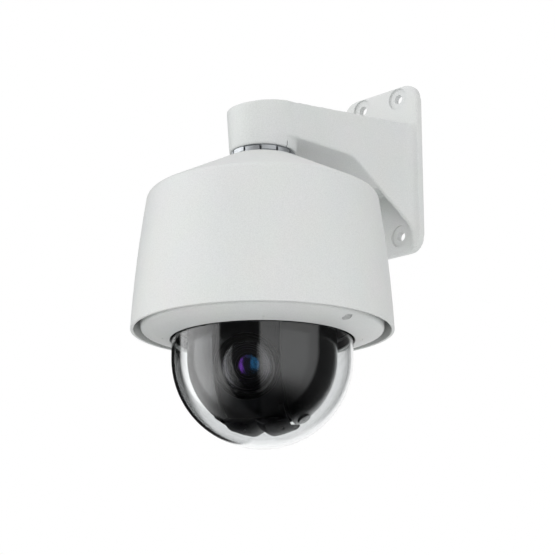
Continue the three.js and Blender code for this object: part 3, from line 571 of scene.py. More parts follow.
@dataclass(frozen=True)
class PowderCoat:
    """Polyester powder coat baked on cast aluminium: fine pebbled grain, satin sheen.

    The melt leaves a close orange peel that scatters each highlight into small glints, with
    broad faint changes of film thickness. The pits of the grain are coloured darker than its
    crests, which is painted shade in the hollows of the orange peel.
    """

    name: str
    colour: str
    shade: str
    roughness: float = 0.5
    grain: float = 1.0  # real grain is near 0.4 mm; drawn coarser so that it shows
    relief: float = 0.22
    film: float = 38.0
    # Where along the grain the pits' painted shade ends and the crests' colour begins.
    pit: float = 0.34
    crest: float = 0.62

    def material(self) -> Material:
        """Builds the coat.

        Returns:
            The material.
        """
        coat = Finish(self.name)
        pebble = coat.noise(self.grain, 3.0, 0.6)
        film = coat.noise(self.film, 2.0)
        # Painted shade: the grain's pits take the darker shade colour and its crests the body colour,
        # following the same pattern as the bump.
        pit_shade_ramp = add_node(coat.tree, "ShaderNodeValToRGB", links={"Fac": pebble.outputs["Fac"]})
        stops = zip(pit_shade_ramp.color_ramp.elements, (self.pit, self.crest), (self.shade, self.colour))
        for stop, position, colour in stops:
            stop.position = position
            stop.color = linear(colour)
        tone = add_node(
            coat.tree, "ShaderNodeMix", {"data_type": "RGBA", "blend_type": "MULTIPLY"},
            {"Factor": 0.05}, {"A": pit_shade_ramp.outputs["Color"], "B": film.outputs["Color"]},
        )
        return coat.close({"IOR": 1.5, "Metallic": 0.0}, {
            "Base Color": tone.outputs["Result"],
            "Roughness": coat.spread(film.outputs["Fac"], self.roughness - 0.07, self.roughness + 0.07),
            "Normal": coat.bump(pebble.outputs["Fac"], self.relief, 0.00025),
        })


@dataclass(frozen=True)
class Moulding:
    """Injection-moulded plastic or rubber: one body colour, the tool's fine grain in the sheen."""

    name: str
    colour: str
    shade: str
    roughness: float
    grain: float = 0.8
    relief: float = 0.1
    coat: float = 0.0
    flow: float = 24.0

    def material(self) -> Material:
        """Builds the moulded surface.

        Returns:
            The material.
        """
        skin = Finish(self.name)
        grain = skin.noise(self.grain, 2.0).outputs["Fac"]
        flow = skin.noise(self.flow, 3.0).outputs["Fac"]
        top = min(1.0, self.roughness * 1.2)
        values = {"IOR": 1.5, "Metallic": 0.0, "Coat Weight": self.coat, "Coat Roughness": 0.04}
        return skin.close(values, {
            "Base Color": skin.two_tone(flow, self.shade, self.colour),
            "Roughness": skin.spread(flow, self.roughness * 0.8, top),
            "Normal": skin.bump(grain, self.relief, 0.0001),
        })


@dataclass(frozen=True)
class Metal:
    """Bare or plated metal: tool marks stretched one way, worn a little brighter in patches."""

    name: str
    colour: str
    shade: str
    roughness: float
    grain: float = 0.7
    stretch: tuple[float, float, float] = (1.0, 1.0, 8.0)
    relief: float = 0.12
    wear: float = 9.0

    def material(self) -> Material:
        """Builds the metal.

        Returns:
            The material.
        """
        metal = Finish(self.name)
        along = add_node(
            metal.tree, "ShaderNodeMapping", {}, {"Scale": self.stretch}, {"Vector": metal.where}
        )
        size = self.grain * max(self.stretch)
        marks = metal.noise(size, 3.0, where=along.outputs["Vector"]).outputs["Fac"]
        wear = metal.noise(self.wear, 4.0).outputs["Fac"]
        top = min(1.0, self.roughness * 1.3)
        return metal.close({"Metallic": 1.0}, {
            "Base Color": metal.two_tone(wear, self.shade, self.colour),
            "Roughness": metal.spread(marks, self.roughness * 0.75, top),
            "Normal": metal.bump(marks, self.relief, 0.0001),
        })


@dataclass(frozen=True)
class ClearDome:
    """Injection-moulded optical polycarbonate: water clear and polished, the tint barely uneven."""

    name: str = "optical_polycarbonate_moulded"
    colour: str = "fafbfb"
    shade: str = "f3f5f6"

    def material(self) -> Material:
        """Builds the clear wall.

        Returns:
            The material.
        """
        wall = Finish(self.name)
        tint = wall.noise(30.0, 2.0).outputs["Fac"]
        values = {"IOR": 1.58, "Transmission Weight": 1.0, "Metallic": 0.0, "Roughness": 0.0}
        return wall.close(values, {"Base Color": wall.two_tone(tint, self.shade, self.colour)})


@dataclass(frozen=True)
class LensGlass:
    """Ground and polished lanthanum glass with a thin bloom of anti-reflection coating."""

    name: str = "optical_glass_polished"
    tint: str = "e6e2f2"

    def material(self) -> Material:
        """Builds the glass.

        Returns:
            The material.
        """
        glass = Finish(self.name)
        dust = glass.noise(6.0, 4.0).outputs["Fac"]
        values = {
            "Base Color": linear(self.tint), "IOR": 1.72, "Transmission Weight": 1.0, "Metallic": 0.0,
        }
        return glass.close(values, {"Roughness": glass.spread(dust, 0.0, 0.02)})


@dataclass(frozen=True)
class CoatedElement:
    """An inner lens face with vacuum-deposited coatings that throw back violet and blue.

    The reflected colour is painted to slide from violet to cyan across the face, a painted
    reflection that stands in for the coating's colours changing with the angle of view.
    """

    name: str = "vacuum_coated_lens_face"
    violet: str = "73409e"
    blue: str = "2a7c9c"
    slide: float = 4.0
    depth: float = 50.0

    def material(self) -> Material:
        """Builds the coated face.

        Returns:
            The material.
        """
        face = Finish(self.name)
        centre = AXES.lens() @ Vector((0.0, 0.0, self.depth))
        centred = add_node(
            face.tree, "ShaderNodeMapping", {"vector_type": "TEXTURE"},
            {"Location": centre, "Rotation": (0.0, 0.0, math.radians(AXES.pan_rest))},
            {"Vector": face.where},
        )
        parts = add_node(
            face.tree, "ShaderNodeSeparateXYZ", links={"Vector": centred.outputs["Vector"]}
        )
        # Painted reflection colour: violet on one side of the lens face and blue on the other.
        across = add_node(
            face.tree, "ShaderNodeMapRange",
            values={"From Min": -self.slide * MM, "From Max": self.slide * MM},
            links={"Value": parts.outputs["X"]},
        )
        colour = face.two_tone(across.outputs["Result"], self.violet, self.blue)
        return face.close({"Metallic": 1.0, "Roughness": 0.2}, {"Base Color": colour})


@dataclass(frozen=True)
class CircuitLaminate:
    """Glass-epoxy board under green solder mask, copper tracks standing just proud of it."""

    name: str = "glass_epoxy_solder_mask"
    mask: str = "1d5c3b"
    track: str = "2f7d50"

    def material(self) -> Material:
        """Builds the board's face.

        Returns:
            The material.
        """
        board = Finish(self.name)
        tracks = add_node(board.tree, "ShaderNodeTexBrick", {"offset": 0.5, "squash": 1.0}, {
            "Scale": per_mm(1.0), "Color1": linear(self.mask), "Color2": linear(self.mask),
            "Mortar": linear(self.track), "Mortar Size": 0.35,
            "Brick Width": 6.0, "Row Height": 2.2,
        }, {"Vector": board.where})
        return board.close({"Roughness": 0.4, "Metallic": 0.0, "IOR": 1.5}, {
            "Base Color": tracks.outputs["Color"],
            "Normal": board.bump(tracks.outputs["Fac"], 0.3, 0.00005),
        })


def made(recipe: object) -> object:
    """Lets a field be made from a finish when the palette is."""
    return field(default_factory=recipe.material)


@dataclass
class Palette:
    """Every finish on the camera, made once."""

    body: Material = made(PowderCoat(
        "powder_coat_light_grey_textured", "dadcdb", "d1d3d2"))
    # Set a step darker than the body's coat, which paints in the shade on the bezel's downward-facing dish.
    bezel: Material = made(PowderCoat(
        "powder_coat_light_grey_satin", "d2d4d3", "cacccb", 0.42, 1.0, 0.12))
    zinc: Material = made(Metal(
        "zinc_plated_steel", "e0e3e6", "c6cace", 0.52))
    cast: Material = made(Metal(
        "die_cast_aluminium_bare", "b9bbbd", "96999c", 0.5, 1.4, (1.0, 1.0, 1.0), 0.3))
    steel: Material = made(Metal(
        "ground_bearing_steel", "c4c4c2", "a9aaab", 0.2, 0.5))
    motor: Material = made(Metal(
        "black_oxide_motor_can", "6a6c70", "4c4e52", 0.4))
    aluminium: Material = made(Metal(
        "extruded_aluminium_anodised", "c2c5c9", "a8abb0", 0.36, 0.6, (8.0, 1.0, 1.0)))
    brass: Material = made(Metal(
        "turned_brass", "caa05a", "a57f42", 0.28))
    rubber: Material = made(Moulding(
        "moulded_epdm_rubber", "18191a", "0e0f10", 0.75, 0.6, 0.3))
    plastic: Material = made(Moulding(
        "black_abs_moulded_matt", "25262a", "1b1c1f", 0.4, 0.7, 0.2))
    ring: Material = made(Moulding(
        "black_polyamide_moulded_deep", "050506", "030303", 0.3, 0.7, 0.08))
    gloss: Material = made(Moulding(
        "black_polycarbonate_moulded_gloss", "151618", "0d0e10", 0.22, 1.5, 0.04, 0.3))
    board: Material = made(CircuitLaminate())
    clear: Material = made(ClearDome())
    glass: Material = made(LensGlass())
    coated: Material = made(CoatedElement())


@dataclass
class SubAssembly:
    """A part of the camera that dresses its pieces from the shared finishes."""

    palette: Palette


# ------------------------------------------------------------------ wall bracket


@dataclass
class WallBracket(SubAssembly):
    """One casting: plate, hollow arm and hub, every edge rounded by the mould."""

    plate: float = 8.0
    spot_face_r: float = 11.0
    spot_face_depth: float = 2.0
    hole_r: float = 4.75
    hole_x: float = 23.3
    hole_heights: tuple[float, float] = (0.0, 143.0)
    hub_bottom: float = 47.4
    lock_bore_r: float = 27.5
    bore_depth: float = 8.0
    seam: float = 1.2
    set_screw_hole_r: float = 2.3
    voxel: float = 1.2
    smoothing: int = 12

    def hub_frame(self) -> Matrix:
        """The pan axis with heights from the bracket's own origin.

        Returns:
            The frame, in millimetres.
        """
        low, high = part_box("sun_shroud")
        spot = Vector(((low.x + high.x) / 2, (low.y + high.y) / 2, 0.0))
        return Matrix.Translation(spot) @ Matrix.Scale(MM, 4)

    def hole_frames(self) -> list[Matrix]:
        """Each fixing hole's axis, out of the wall.

        Returns:
            The four frames, in millimetres.
        """
        out = Matrix.Rotation(math.radians(90.0), 4, "X")
        return [
            Matrix.Scale(MM, 4) @ Matrix.Translation((x, 0.0, z)) @ out
            for x in (-self.hole_x, self.hole_x)
            for z in self.hole_heights
        ]

    def casting(self) -> Piece:
        """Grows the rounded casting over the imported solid.

        Returns:
            The closed casting, with its fixing holes filled.
        """
        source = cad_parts["wall_bracket"]
        piece = bpy.data.objects.new("wall_bracket_casting", source.data.copy())
        bpy.context.scene.collection.objects.link(piece)
        pick(piece)
        bpy.ops.object.mode_set(mode="EDIT")
        bpy.ops.mesh.select_all(action="SELECT")
        bpy.ops.mesh.remove_doubles(threshold=1e-6)
        bpy.ops.object.mode_set(mode="OBJECT")
        plugs = [
            settle(rod("plug", self.spot_face_r + 1.0, 0.0, self.plate), place)
            for place in self.hole_frames()
        ]
        join(plugs + [piece])
        modify(piece, "REMESH", {"mode": "VOXEL", "voxel_size": self.voxel * MM})
        modify(piece, "SMOOTH", {"factor": 0.5, "iterations": self.smoothing})
        return piece

    def machine(self, piece: Piece) -> None:
        """Cuts what is machined after casting.

        Args:
            piece: The casting.
        """
        for place in self.hole_frames():
            combine(piece, settle(rod("bolt", self.hole_r, -3.0, self.plate + 4.0), place), Solid.CUT)
            floor = self.plate - self.spot_face_depth
            spot = settle(rod("spot", self.spot_face_r, floor, self.plate + 18.0, 72), place)
            combine(piece, spot, Solid.CUT)
        hub = self.hub_frame()
        bore = rod("bore", self.lock_bore_r, self.hub_bottom - 4.0, self.hub_bottom + self.bore_depth, 96)
        combine(piece, settle(bore, hub), Solid.CUT)
        half = self.seam / 2
        slot = block("seam", (26.0, -half, self.hub_bottom - 2.0), (38.0, half, self.hub_bottom + 6.0))
        combine(piece, settle(slot, hub), Solid.CUT)
        sideways = (
            hub @ Matrix.Translation((0.0, 0.0, self.hub_bottom + 4.0))
            @ Matrix.Rotation(math.radians(-90.0), 4, "Y")
        )
        screw = rod("set_screw_hole", self.set_screw_hole_r, 25.0, 38.0, 32)
        combine(piece, settle(screw, sideways), Solid.CUT)

    def make(self) -> None:
        """Builds and dresses the bracket."""
        piece = self.casting()
        self.machine(piece)
        hand_over(piece, "housing", self.palette.body, ("wall_bracket",), 38.0)


# ------------------------------------------------------------------ neck


@dataclass
class LockRings(SubAssembly):
    """Two toothed rings between hub and shroud that stop the camera turning on its thread."""

    bore_r: float = 24.45
    outer_r: float = 30.0
    base_low: float = 160.556
    base_high: float = 162.156
    hub_bottom: float = 167.356
    tooth: float = 26.0
    teeth: int = 6
    phase: float = 25.0

    def crown(self, name: str, low: float, high: float, phase: float) -> Piece:
        """One ring's teeth.

        Args:
            name: The piece's name.
            low: Foot of the teeth.
            high: Tip of the teeth.
            phase: Heading of the first tooth.

        Returns:
            All the teeth in one object.
        """
        section = [
            (self.bore_r + 0.3, low), (self.outer_r - 0.2, low, 0.4),
            (self.outer_r - 0.2, high, 0.4), (self.bore_r + 0.3, high),
        ]
        first = phase - 90.0 - self.tooth / 2
        model = turned(name, section, 180, 3, first, self.tooth)
        copies = []
        for i in range(1, self.teeth):
            clear_selection()
            copy = model.copy()
            copy.data = model.data.copy()
            bpy.context.scene.collection.objects.link(copy)
            copies.append(settle(copy, Matrix.Rotation(math.radians(360.0 * i / self.teeth), 4, "Z")))
        join(copies + [model])
        return model

    def make(self) -> None:
        """Builds and dresses both rings and the set screw."""
        lower = turned("camera_lock_ring_plated", [
            (self.bore_r, self.base_low), (self.outer_r, self.base_low, 0.4),
            (self.outer_r, self.base_high, 0.4), (self.bore_r, self.base_high),
        ], 120, 3)
        crown = self.crown("teeth", self.base_high - 0.5, self.hub_bottom - 0.9, self.phase)
        combine(lower, crown, Solid.ADD)
        upper = turned("bracket_lock_ring_plated", [
            (self.bore_r + 0.3, self.hub_bottom - 0.6), (27.2, self.hub_bottom - 0.6),
            (27.2, self.hub_bottom + 7.0), (self.bore_r + 0.3, self.hub_bottom + 7.0),
        ], 120, 3)
        crown = self.crown("teeth", self.base_high + 0.6, self.hub_bottom - 0.3, self.phase + 30.0)
        combine(upper, crown, Solid.ADD)
        for piece, node in ((lower, "camera_lock_ring"), (upper, "bracket_lock_ring")):
            settle(piece, AXES.rim())
            hand_over(piece, "housing", self.palette.zinc, (node,))
        self.set_screw()

    def set_screw(self) -> None:
        """The grub screw in the side of the hub, with its hexagon socket."""
        screw = turned("hub_set_screw_socket", [
            (0.0, 0.0), (1.6, 0.0), (2.0, 0.5), (2.0, 3.5, 0.3), (0.0, 3.5),
        ], 48, 2)
        combine(screw, rod("key", 1.05, 1.6, 5.0, 6), Solid.CUT)
        side = (
            AXES.rim() @ Matrix.Translation((-27.5, 0.0, self.hub_bottom + 4.0))
            @ Matrix.Rotation(math.radians(-90.0), 4, "Y")
        )
        settle(screw, side)
        hand_over(screw, "housing", self.palette.steel, ("hub_set_screw",))


# ------------------------------------------------------------------ shroud and bezel


@dataclass
class SunShroud(SubAssembly):
    """Spun aluminium hood: bowed barrel, rounded shoulder and shallow conical top."""

    rim_r: float = 118.0
    wall: float = 2.8
    shoulder: float = 123.7
    top: float = 160.256
    crown_r: float = 35.0
    bore_r: float = 24.45
    corner: float = 6.5
    straight: float = 16.0

    def radius(self, height: float) -> float:
        """Outside radius of the barrel at a height."""
        return self.rim_r - 0.0503 * height - 0.00041 * height * height

    def side(self, inset: float, bands: int = 10) -> list[Corner]:
        """Half section of one face, from the rim to the neck.

        Args:
            inset: How far it lies inside the outer face.
            bands: Steps up the barrel.

        Returns:
            The face's corners.
        """
        rise = (self.shoulder - self.straight) / bands
        lip = 0.7 if inset == 0 else 0.5
        face: list[Corner] = [(self.radius(0.0) - inset, 0.0, lip)]
        face += [(self.radius(rise * i) - inset, rise * i) for i in range(1, bands + 1)]
        face += [
            (self.radius(self.shoulder) - inset, self.shoulder - inset * 0.6, self.corner - inset),
            (self.crown_r, self.top - inset, 4.0),
            (self.bore_r, self.top - inset),
        ]
        return face

    def make(self) -> None:
        """Builds and dresses the shroud."""
        section = self.side(0.0) + list(reversed(self.side(self.wall)))
        piece = settle(turned("sun_shroud_spun", section, 200, 10), AXES.rim())
        hand_over(piece, "housing", self.palette.body, ("sun_shroud",))


@dataclass
class Bezel(SubAssembly):
    """Dished ring that carries the dome, with its captive screws set in slanting recesses."""

    opening_r: float = 82.4
    bottom: float = -8.7
    edge_r: float = 108.9
    edge: float = 0.31
    top: float = 7.0
    wall: float = 3.5
    lip_top: float = -3.6
    seat_r: float = 91.0
    screw_r: float = 100.5
    screw_heading: float = 90.0
    boss_r: float = 5.3
    recess_r: float = 4.7
    recess_top: float = 3.4
    flange: float = 8.6
    clamp_r: float = 94.5
    clamp_top: float = 1.0
    dot_r: float = 89.0
    slope: float = 18.8

    def make(self) -> None:
        """Builds and dresses the bezel and its screws."""
        ring = turned("bezel_ring_dished", [
            (self.opening_r, self.bottom, 0.7),
            (self.edge_r - 10.6, self.edge - 4.1, 40.0),
            (self.edge_r, self.edge, 4.0),
            (self.edge_r, self.top, 0.4),
            (self.edge_r - self.wall, self.top),
            (self.edge_r - self.wall, self.edge + 3.4, 1.0),
            (self.seat_r, self.lip_top, 1.0),
            (self.opening_r, self.lip_top, 0.3),
        ], 200, 8)
        for place in ring_of(3, self.clamp_r, 0.0):
            combine(ring, settle(rod("boss", 3.4, self.lip_top - 0.3, self.clamp_top), place), Solid.ADD)
            hole = rod("hole", 1.8, self.lip_top + 0.4, self.clamp_top + 1.0)
            combine(ring, settle(hole, place), Solid.CUT)
        for place in ring_of(2, self.screw_r, self.screw_heading):
            boss = rod("boss", self.boss_r, self.edge - 1.5, self.flange - 0.3)
            combine(ring, settle(boss, place), Solid.ADD)
            lean = (
                place @ Matrix.Translation((0.0, 0.0, self.edge - 2.4))
                @ Matrix.Rotation(math.radians(-self.slope), 4, "X")
            )
            mouth = settle(rod("mouth", self.recess_r, -8.0, 2.2, 64), lean)
            combine(ring, mouth, Solid.CUT)
            bore = rod("bore", 3.4, self.bottom - 1.0, self.recess_top, 48)
            combine(ring, settle(bore, place), Solid.CUT)
            combine(ring, settle(rod("hole", 2.4, 0.0, self.flange + 1.0), place), Solid.CUT)
        for place in ring_of(4, self.dot_r, 45.0):
            dot = rod("dot", 0.95, self.bottom - 2.0, self.lip_top + 1.0, 24)
            combine(ring, settle(dot, place), Solid.CUT)
        settle(ring, AXES.rim())
        hand_over(ring, "housing", self.palette.bezel, ("bezel_ring",))
        for number, place in enumerate(ring_of(2, self.screw_r, self.screw_heading), 1):
            screw = turned(f"bezel_screw_{number}_socket", [
                (0.0, -2.2), (2.9, -2.2, 0.4), (2.9, 0.0), (2.0, 0.0), (2.0, 8.8, 0.4), (0.0, 8.8),
            ], 48, 3)
            combine(screw, rod("key", 1.45, -5.0, -0.9, 6), Solid.CUT)
            settle(screw, AXES.rim() @ place @ Matrix.Translation((0.0, 0.0, self.recess_top - 0.3)))
            hand_over(screw, "housing", self.palette.steel, (f"bezel_screw_{number}",))


@dataclass
class Dome(SubAssembly):
    """Clear bubble and the rubber ring that seals it to the bezel."""

    outer_r: float = 81.0
    inner_r: float = 78.5
    centre: float = -24.0
    seat_r: float = 90.5
    flange_low: float = -1.5
    flange_top: float = 1.0
    opening_r: float = 82.1
    gasket_low: float = -7.8
    gasket_step: float = -3.3
    gasket_top: float = -1.8
    steps: int = 36

    def make(self) -> None:
        """Builds and dresses the bubble and its gasket."""
        section: list[Corner] = [
            (self.inner_r, self.flange_top, 0.5), (self.seat_r, self.flange_top),
            (self.seat_r, self.flange_low), (self.outer_r, self.flange_low, 0.8),
        ]
        section += quarter(self.outer_r, self.centre, self.steps)
        section += reversed(quarter(self.inner_r, self.centre, self.steps))
        bubble = settle(turned("dome_bubble_clear", section, 200, 4), AXES.rim())
        hand_over(bubble, "housing", self.palette.clear, ("dome_bubble",))
        gasket = turned("dome_gasket_moulded", [
            (self.outer_r + 0.3, self.gasket_low, 0.3), (self.opening_r, self.gasket_low, 0.3),
            (self.opening_r, self.gasket_step), (self.seat_r, self.gasket_step),
            (self.seat_r, self.gasket_top), (self.outer_r + 0.3, self.gasket_top),
        ], 200, 2)
        settle(gasket, AXES.rim())
        hand_over(gasket, "housing", self.palette.rubber, ("dome_gasket",))


# ------------------------------------------------------------------ tilting head


@dataclass
class CheekCovers(SubAssembly):
    """Two glossy black half shells that hide the yoke, leaving a slot for the eye."""

    radius: float = 66.9
    wall: float = 2.0
    slot_half: float = 29.5
    centre: float = -24.0
    top: float = 40.7
    boss: tuple[float, float, float] = (37.2, 2.0, -55.6)
    boss_long: float = 11.5
    boss_short: float = 6.2
    steps: int = 32

    def screw_boss(self, piece: Piece) -> None:
        """Adds the low oval pad near the foot of the cover, with the hole for its screw.

        Args:
            piece: The right-hand cover, in the head's axes.
        """
        out = Vector(self.boss).normalized()
        up = Vector((0.0, 1.0, 0.0))
        wide = out.cross(up).normalized()
        turn = Matrix((wide, out.cross(wide).normalized() * -1.0, out)).transposed().to_4x4()
        centre = Matrix.Translation((0.0, 0.0, self.centre))
        pad = rod("pad", 1.0, self.radius - 1.6, self.radius + 0.7, 64)
        settle(pad, Matrix.Diagonal((self.boss_short, self.boss_long, 1.0, 1.0)))
        soften(pad, 0.5, 3)
        combine(piece, settle(pad, centre @ turn), Solid.ADD)
        hole = rod("hole", 2.3, self.radius - 0.6, self.radius + 3.0, 32)
        combine(piece, settle(hole, centre @ turn), Solid.CUT)

    def make(self) -> None:
        """Builds and dresses both covers."""
        inner = self.radius - self.wall
        section: list[Corner] = [(inner - 7.0, self.top), (self.radius, self.top, 0.6)]
        section += quarter(self.radius, self.centre, self.steps)
        section += reversed(quarter(inner, self.centre, self.steps))
        section += [(inner, self.top - 2.0), (inner - 7.0, self.top - 2.0)]
        for side in Side:
            name = side.name.lower()
            cover = turned(f"cheek_cover_{name}_gloss", section, 180, 3)
            far = self.radius + 1.0
            keep = block("keep", (self.slot_half, -far, self.centre - far), (far, far, self.top + 1.0))
            combine(cover, keep, Solid.KEEP)
            foot = block("foot", (28.5, -15.0, self.top - 4.0), (45.0, 15.0, self.top + 1.0))
            combine(cover, foot, Solid.CUT)
            self.screw_boss(cover)
            if side is Side.LEFT:
                settle(cover, Matrix.Rotation(math.pi, 4, "Z"))
            settle(cover, AXES.head())
            hand_over(cover, "pan_head", self.palette.gloss, (f"cheek_cover_{name}",))


@dataclass
class Eye(SubAssembly):
    """Tilting drum with the lens in front and its pair of chin lobes underneath."""

    radius: float = 62.0
    wall: float = 2.0
    half: float = 28.0
    above: float = 75.0
    below: float = 106.0
    barrel_r: float = 23.7
    ring_seat_r: float = 28.8
    ring_back: float = 57.0
    chin_gap: float = 0.3
    lobe: float = 7.5
    chin_from: float = 48.0
    chin_to: float = 98.0
    drain_r: float = 1.15
    drain_turn: float = 13.0
    drain_rise: float = 14.8

    def band(self, radius: float, steps: int = 14) -> list[Corner]:
        """Arc of a sphere across the drum's width.

        Args:
            radius: The sphere's radius.
            steps: Steps across.

        Returns:
            Points from one side to the other.
        """
        reach = math.asin(self.half / radius)
        angles = [-reach + 2 * reach * i / steps for i in range(steps + 1)]
        return [(radius * math.cos(a), radius * math.sin(a)) for a in angles]

    def drum(self) -> None:
        """Builds the drum: a belt of a sphere with the lens bore in it."""
        section = self.band(self.radius) + list(reversed(self.band(self.radius - self.wall)))
        drum = turned("lens_drum_moulded", section, 180, 3, -90.0 - self.above, self.above + self.below)
        settle(drum, Matrix.Rotation(math.radians(90.0), 4, "Y"))
        forward = Matrix.Rotation(math.radians(90.0), 4, "X")
        combine(drum, settle(rod("bore", self.barrel_r, 10.0, 75.0, 96), forward), Solid.CUT)
        seat = rod("seat", self.ring_seat_r, self.ring_back - 0.3, 75.0, 96)
        combine(drum, settle(seat, forward), Solid.CUT)
        settle(drum, AXES.eye())
        hand_over(drum, "eye", self.palette.plastic, ("lens_drum",))

    def chin(self) -> None:
        """Builds the two rounded lobes under the lens and the strap beside them."""
        seat = self.radius + self.chin_gap
        edge = self.half + 0.4
        tip = seat + self.lobe
        chin = turned("drum_chin_lobes", [
            (seat, -edge), (seat + 1.8, -edge, 0.8), (tip - 1.9, -edge * 0.6, 8.0),
            (tip, -edge * 0.3, 6.0), (seat + 2.4, 0.0, 1.0), (tip, edge * 0.3, 6.0),
            (tip - 1.9, edge * 0.6, 8.0), (seat + 1.8, edge, 0.8), (seat, edge),
        ], 240, 6, self.chin_from - 90.0, self.chin_to - self.chin_from)
        soften(chin, 1.6, 4, 60.0)
        settle(chin, AXES.across())
        slant = (
            Matrix.Rotation(math.radians(self.drain_turn), 4, "Z")
            @ Matrix.Rotation(math.radians(90.0 + self.drain_rise), 4, "X")
        )
        for x, forward, drop in ((-12.8, 11.4, 64.7), (20.3, 6.9, 63.4)):
            spot = Matrix.Translation((x, -forward, AXES.tilt_height - drop))
            drain = settle(rod("drain", self.drain_r, -30.0, 30.0, 32), AXES.head() @ spot @ slant)
            combine(chin, drain, Solid.CUT)
        hand_over(chin, "eye", self.palette.plastic, ("drum_chin",), 40.0)
        strap = turned("drum_edge_strap", [
            (seat, edge - 5.0), (seat + 1.5, edge - 5.0, 0.5),
            (seat + 1.5, edge - 0.6, 0.5), (seat, edge - 0.6),
        ], 240, 3, 32.0 - 90.0, 15.6)
        settle(strap, AXES.across())
        hand_over(strap, "eye", self.palette.plastic)

    def cap(self, reach: float, foot: float, crown: float, steps: int = 20) -> list[Corner]:
        """Half section of a spherical cap, from its edge to the lens axis.

        Args:
            reach: The cap's radius at its foot.
            foot: Place of the foot along the lens axis.
            crown: How far the cap bulges past its foot.
            steps: Steps along it.

        Returns:
            The points, ending on the axis.
        """
        sphere = (reach**2 + crown**2) / (2 * crown)
        sweep = math.asin(reach / sphere)
        middle = foot + crown - sphere
        angles = [sweep * (1 - i / steps) for i in range(steps)]
        points: list[Corner] = [(sphere * math.sin(a), middle + sphere * math.cos(a)) for a in angles]
        return points + [(0.0, foot + crown)]

    def lens(self) -> None:
        """Builds the lens ring, the front glass and the coated face behind it."""
        ring = turned("lens_ring_stepped", [
            (16.0, 30.3), (23.4, 30.3), (23.4, 57.0), (28.5, 57.0, 0.3), (28.5, 61.3, 0.5),
            (27.9, 62.0, 0.4), (26.7, 62.0, 0.2), (26.3, 61.2, 0.2), (25.3, 61.2, 0.2),
            (24.9, 61.8, 0.2), (23.6, 61.2), (22.1, 60.0, 0.2), (22.1, 58.5), (19.5, 58.5),
            (19.5, 51.0), (16.0, 51.0),
        ], 160, 3)
        settle(ring, AXES.lens())
        hand_over(ring, "eye", self.palette.ring, ("lens_ring",), 25.0)
        dish = [(20.3, 58.8), (21.8, 58.8, 0.2)] + self.cap(21.8, 59.5, 5.0)
        dish += list(reversed(self.cap(20.3, 58.8, 3.5)))[:-1]
        glass = settle(turned("front_lens_glass", dish, 120, 3), AXES.lens())
        hand_over(glass, "eye", self.palette.glass, ("front_lens",))
        cap = [(0.0, 51.2), (10.6, 51.2)] + self.cap(10.6, 53.1, 4.9)
        face = settle(turned("lens_inner_element", cap, 96, 3), AXES.lens())
        hand_over(face, "eye", self.palette.coated)
        baffle = turned("lens_baffle_stepped", [
            (10.8, 51.2), (19.3, 51.2), (19.3, 57.0), (18.6, 57.0), (18.0, 55.6), (16.6, 55.6),
            (16.0, 54.4), (14.4, 54.4), (13.8, 53.4), (10.8, 53.4),
        ], 96, 2)
        settle(baffle, AXES.lens())
        hand_over(baffle, "eye", self.palette.ring)

    def make(self) -> None:
        """Builds and dresses every piece of the eye that shows."""
        self.drum()
        self.chin()
        self.lens()


# ------------------------------------------------------------------ what lies inside


@dataclass
class InnerWorks(SubAssembly):
    """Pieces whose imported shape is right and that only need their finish."""

    finishes: dict[str, tuple[str, ...]] = field(default_factory=lambda: {
        "cast": (
            "neck_adapter", "housing_can", "chassis_plate", "pan_shaft", "yoke_base",
            "yoke_arm_right", "yoke_arm_left", "tilt_motor_bracket",
        ),
        "steel": (
            "clamp_screw_1", "clamp_screw_2", "clamp_screw_3", "dome_clamp_ring",
            "chassis_screw_1", "chassis_screw_2", "chassis_screw_3", "pan_bearing_outer",
            "pan_bearing_inner", "pan_motor_pulley", "tilt_motor_pulley", "tilt_shaft_right",
            "tilt_shaft_left",
        ),
        "zinc": ("network_jack",),
        "aluminium": ("pan_pulley", "tilt_pulley", "heater"),
        "motor": ("pan_motor", "tilt_motor"),
        "brass": ("slip_ring_rotor", "tilt_bush_right", "tilt_bush_left"),
        "rubber": (
            "shroud_spacer_1", "shroud_spacer_2", "shroud_spacer_3", "housing_gasket",
            "pan_belt", "tilt_belt",
        ),
        "plastic": ("fan_frame", "fan_rotor", "slip_ring_stator", "zoom_housing"),
        "board": ("main_board", "image_sensor_board"),
        "glass": ("zoom_lens_group", "focus_lens_group"),
    })

    def make(self) -> None:
        """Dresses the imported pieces."""
        for finish, nodes in self.finishes.items():
            for node in nodes:
                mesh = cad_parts[node].data
                mesh.materials.clear()
                mesh.materials.append(getattr(self.palette, finish))
                LOG.info("%s: dressed in %s", node, finish)


# ------------------------------------------------------------------ studio


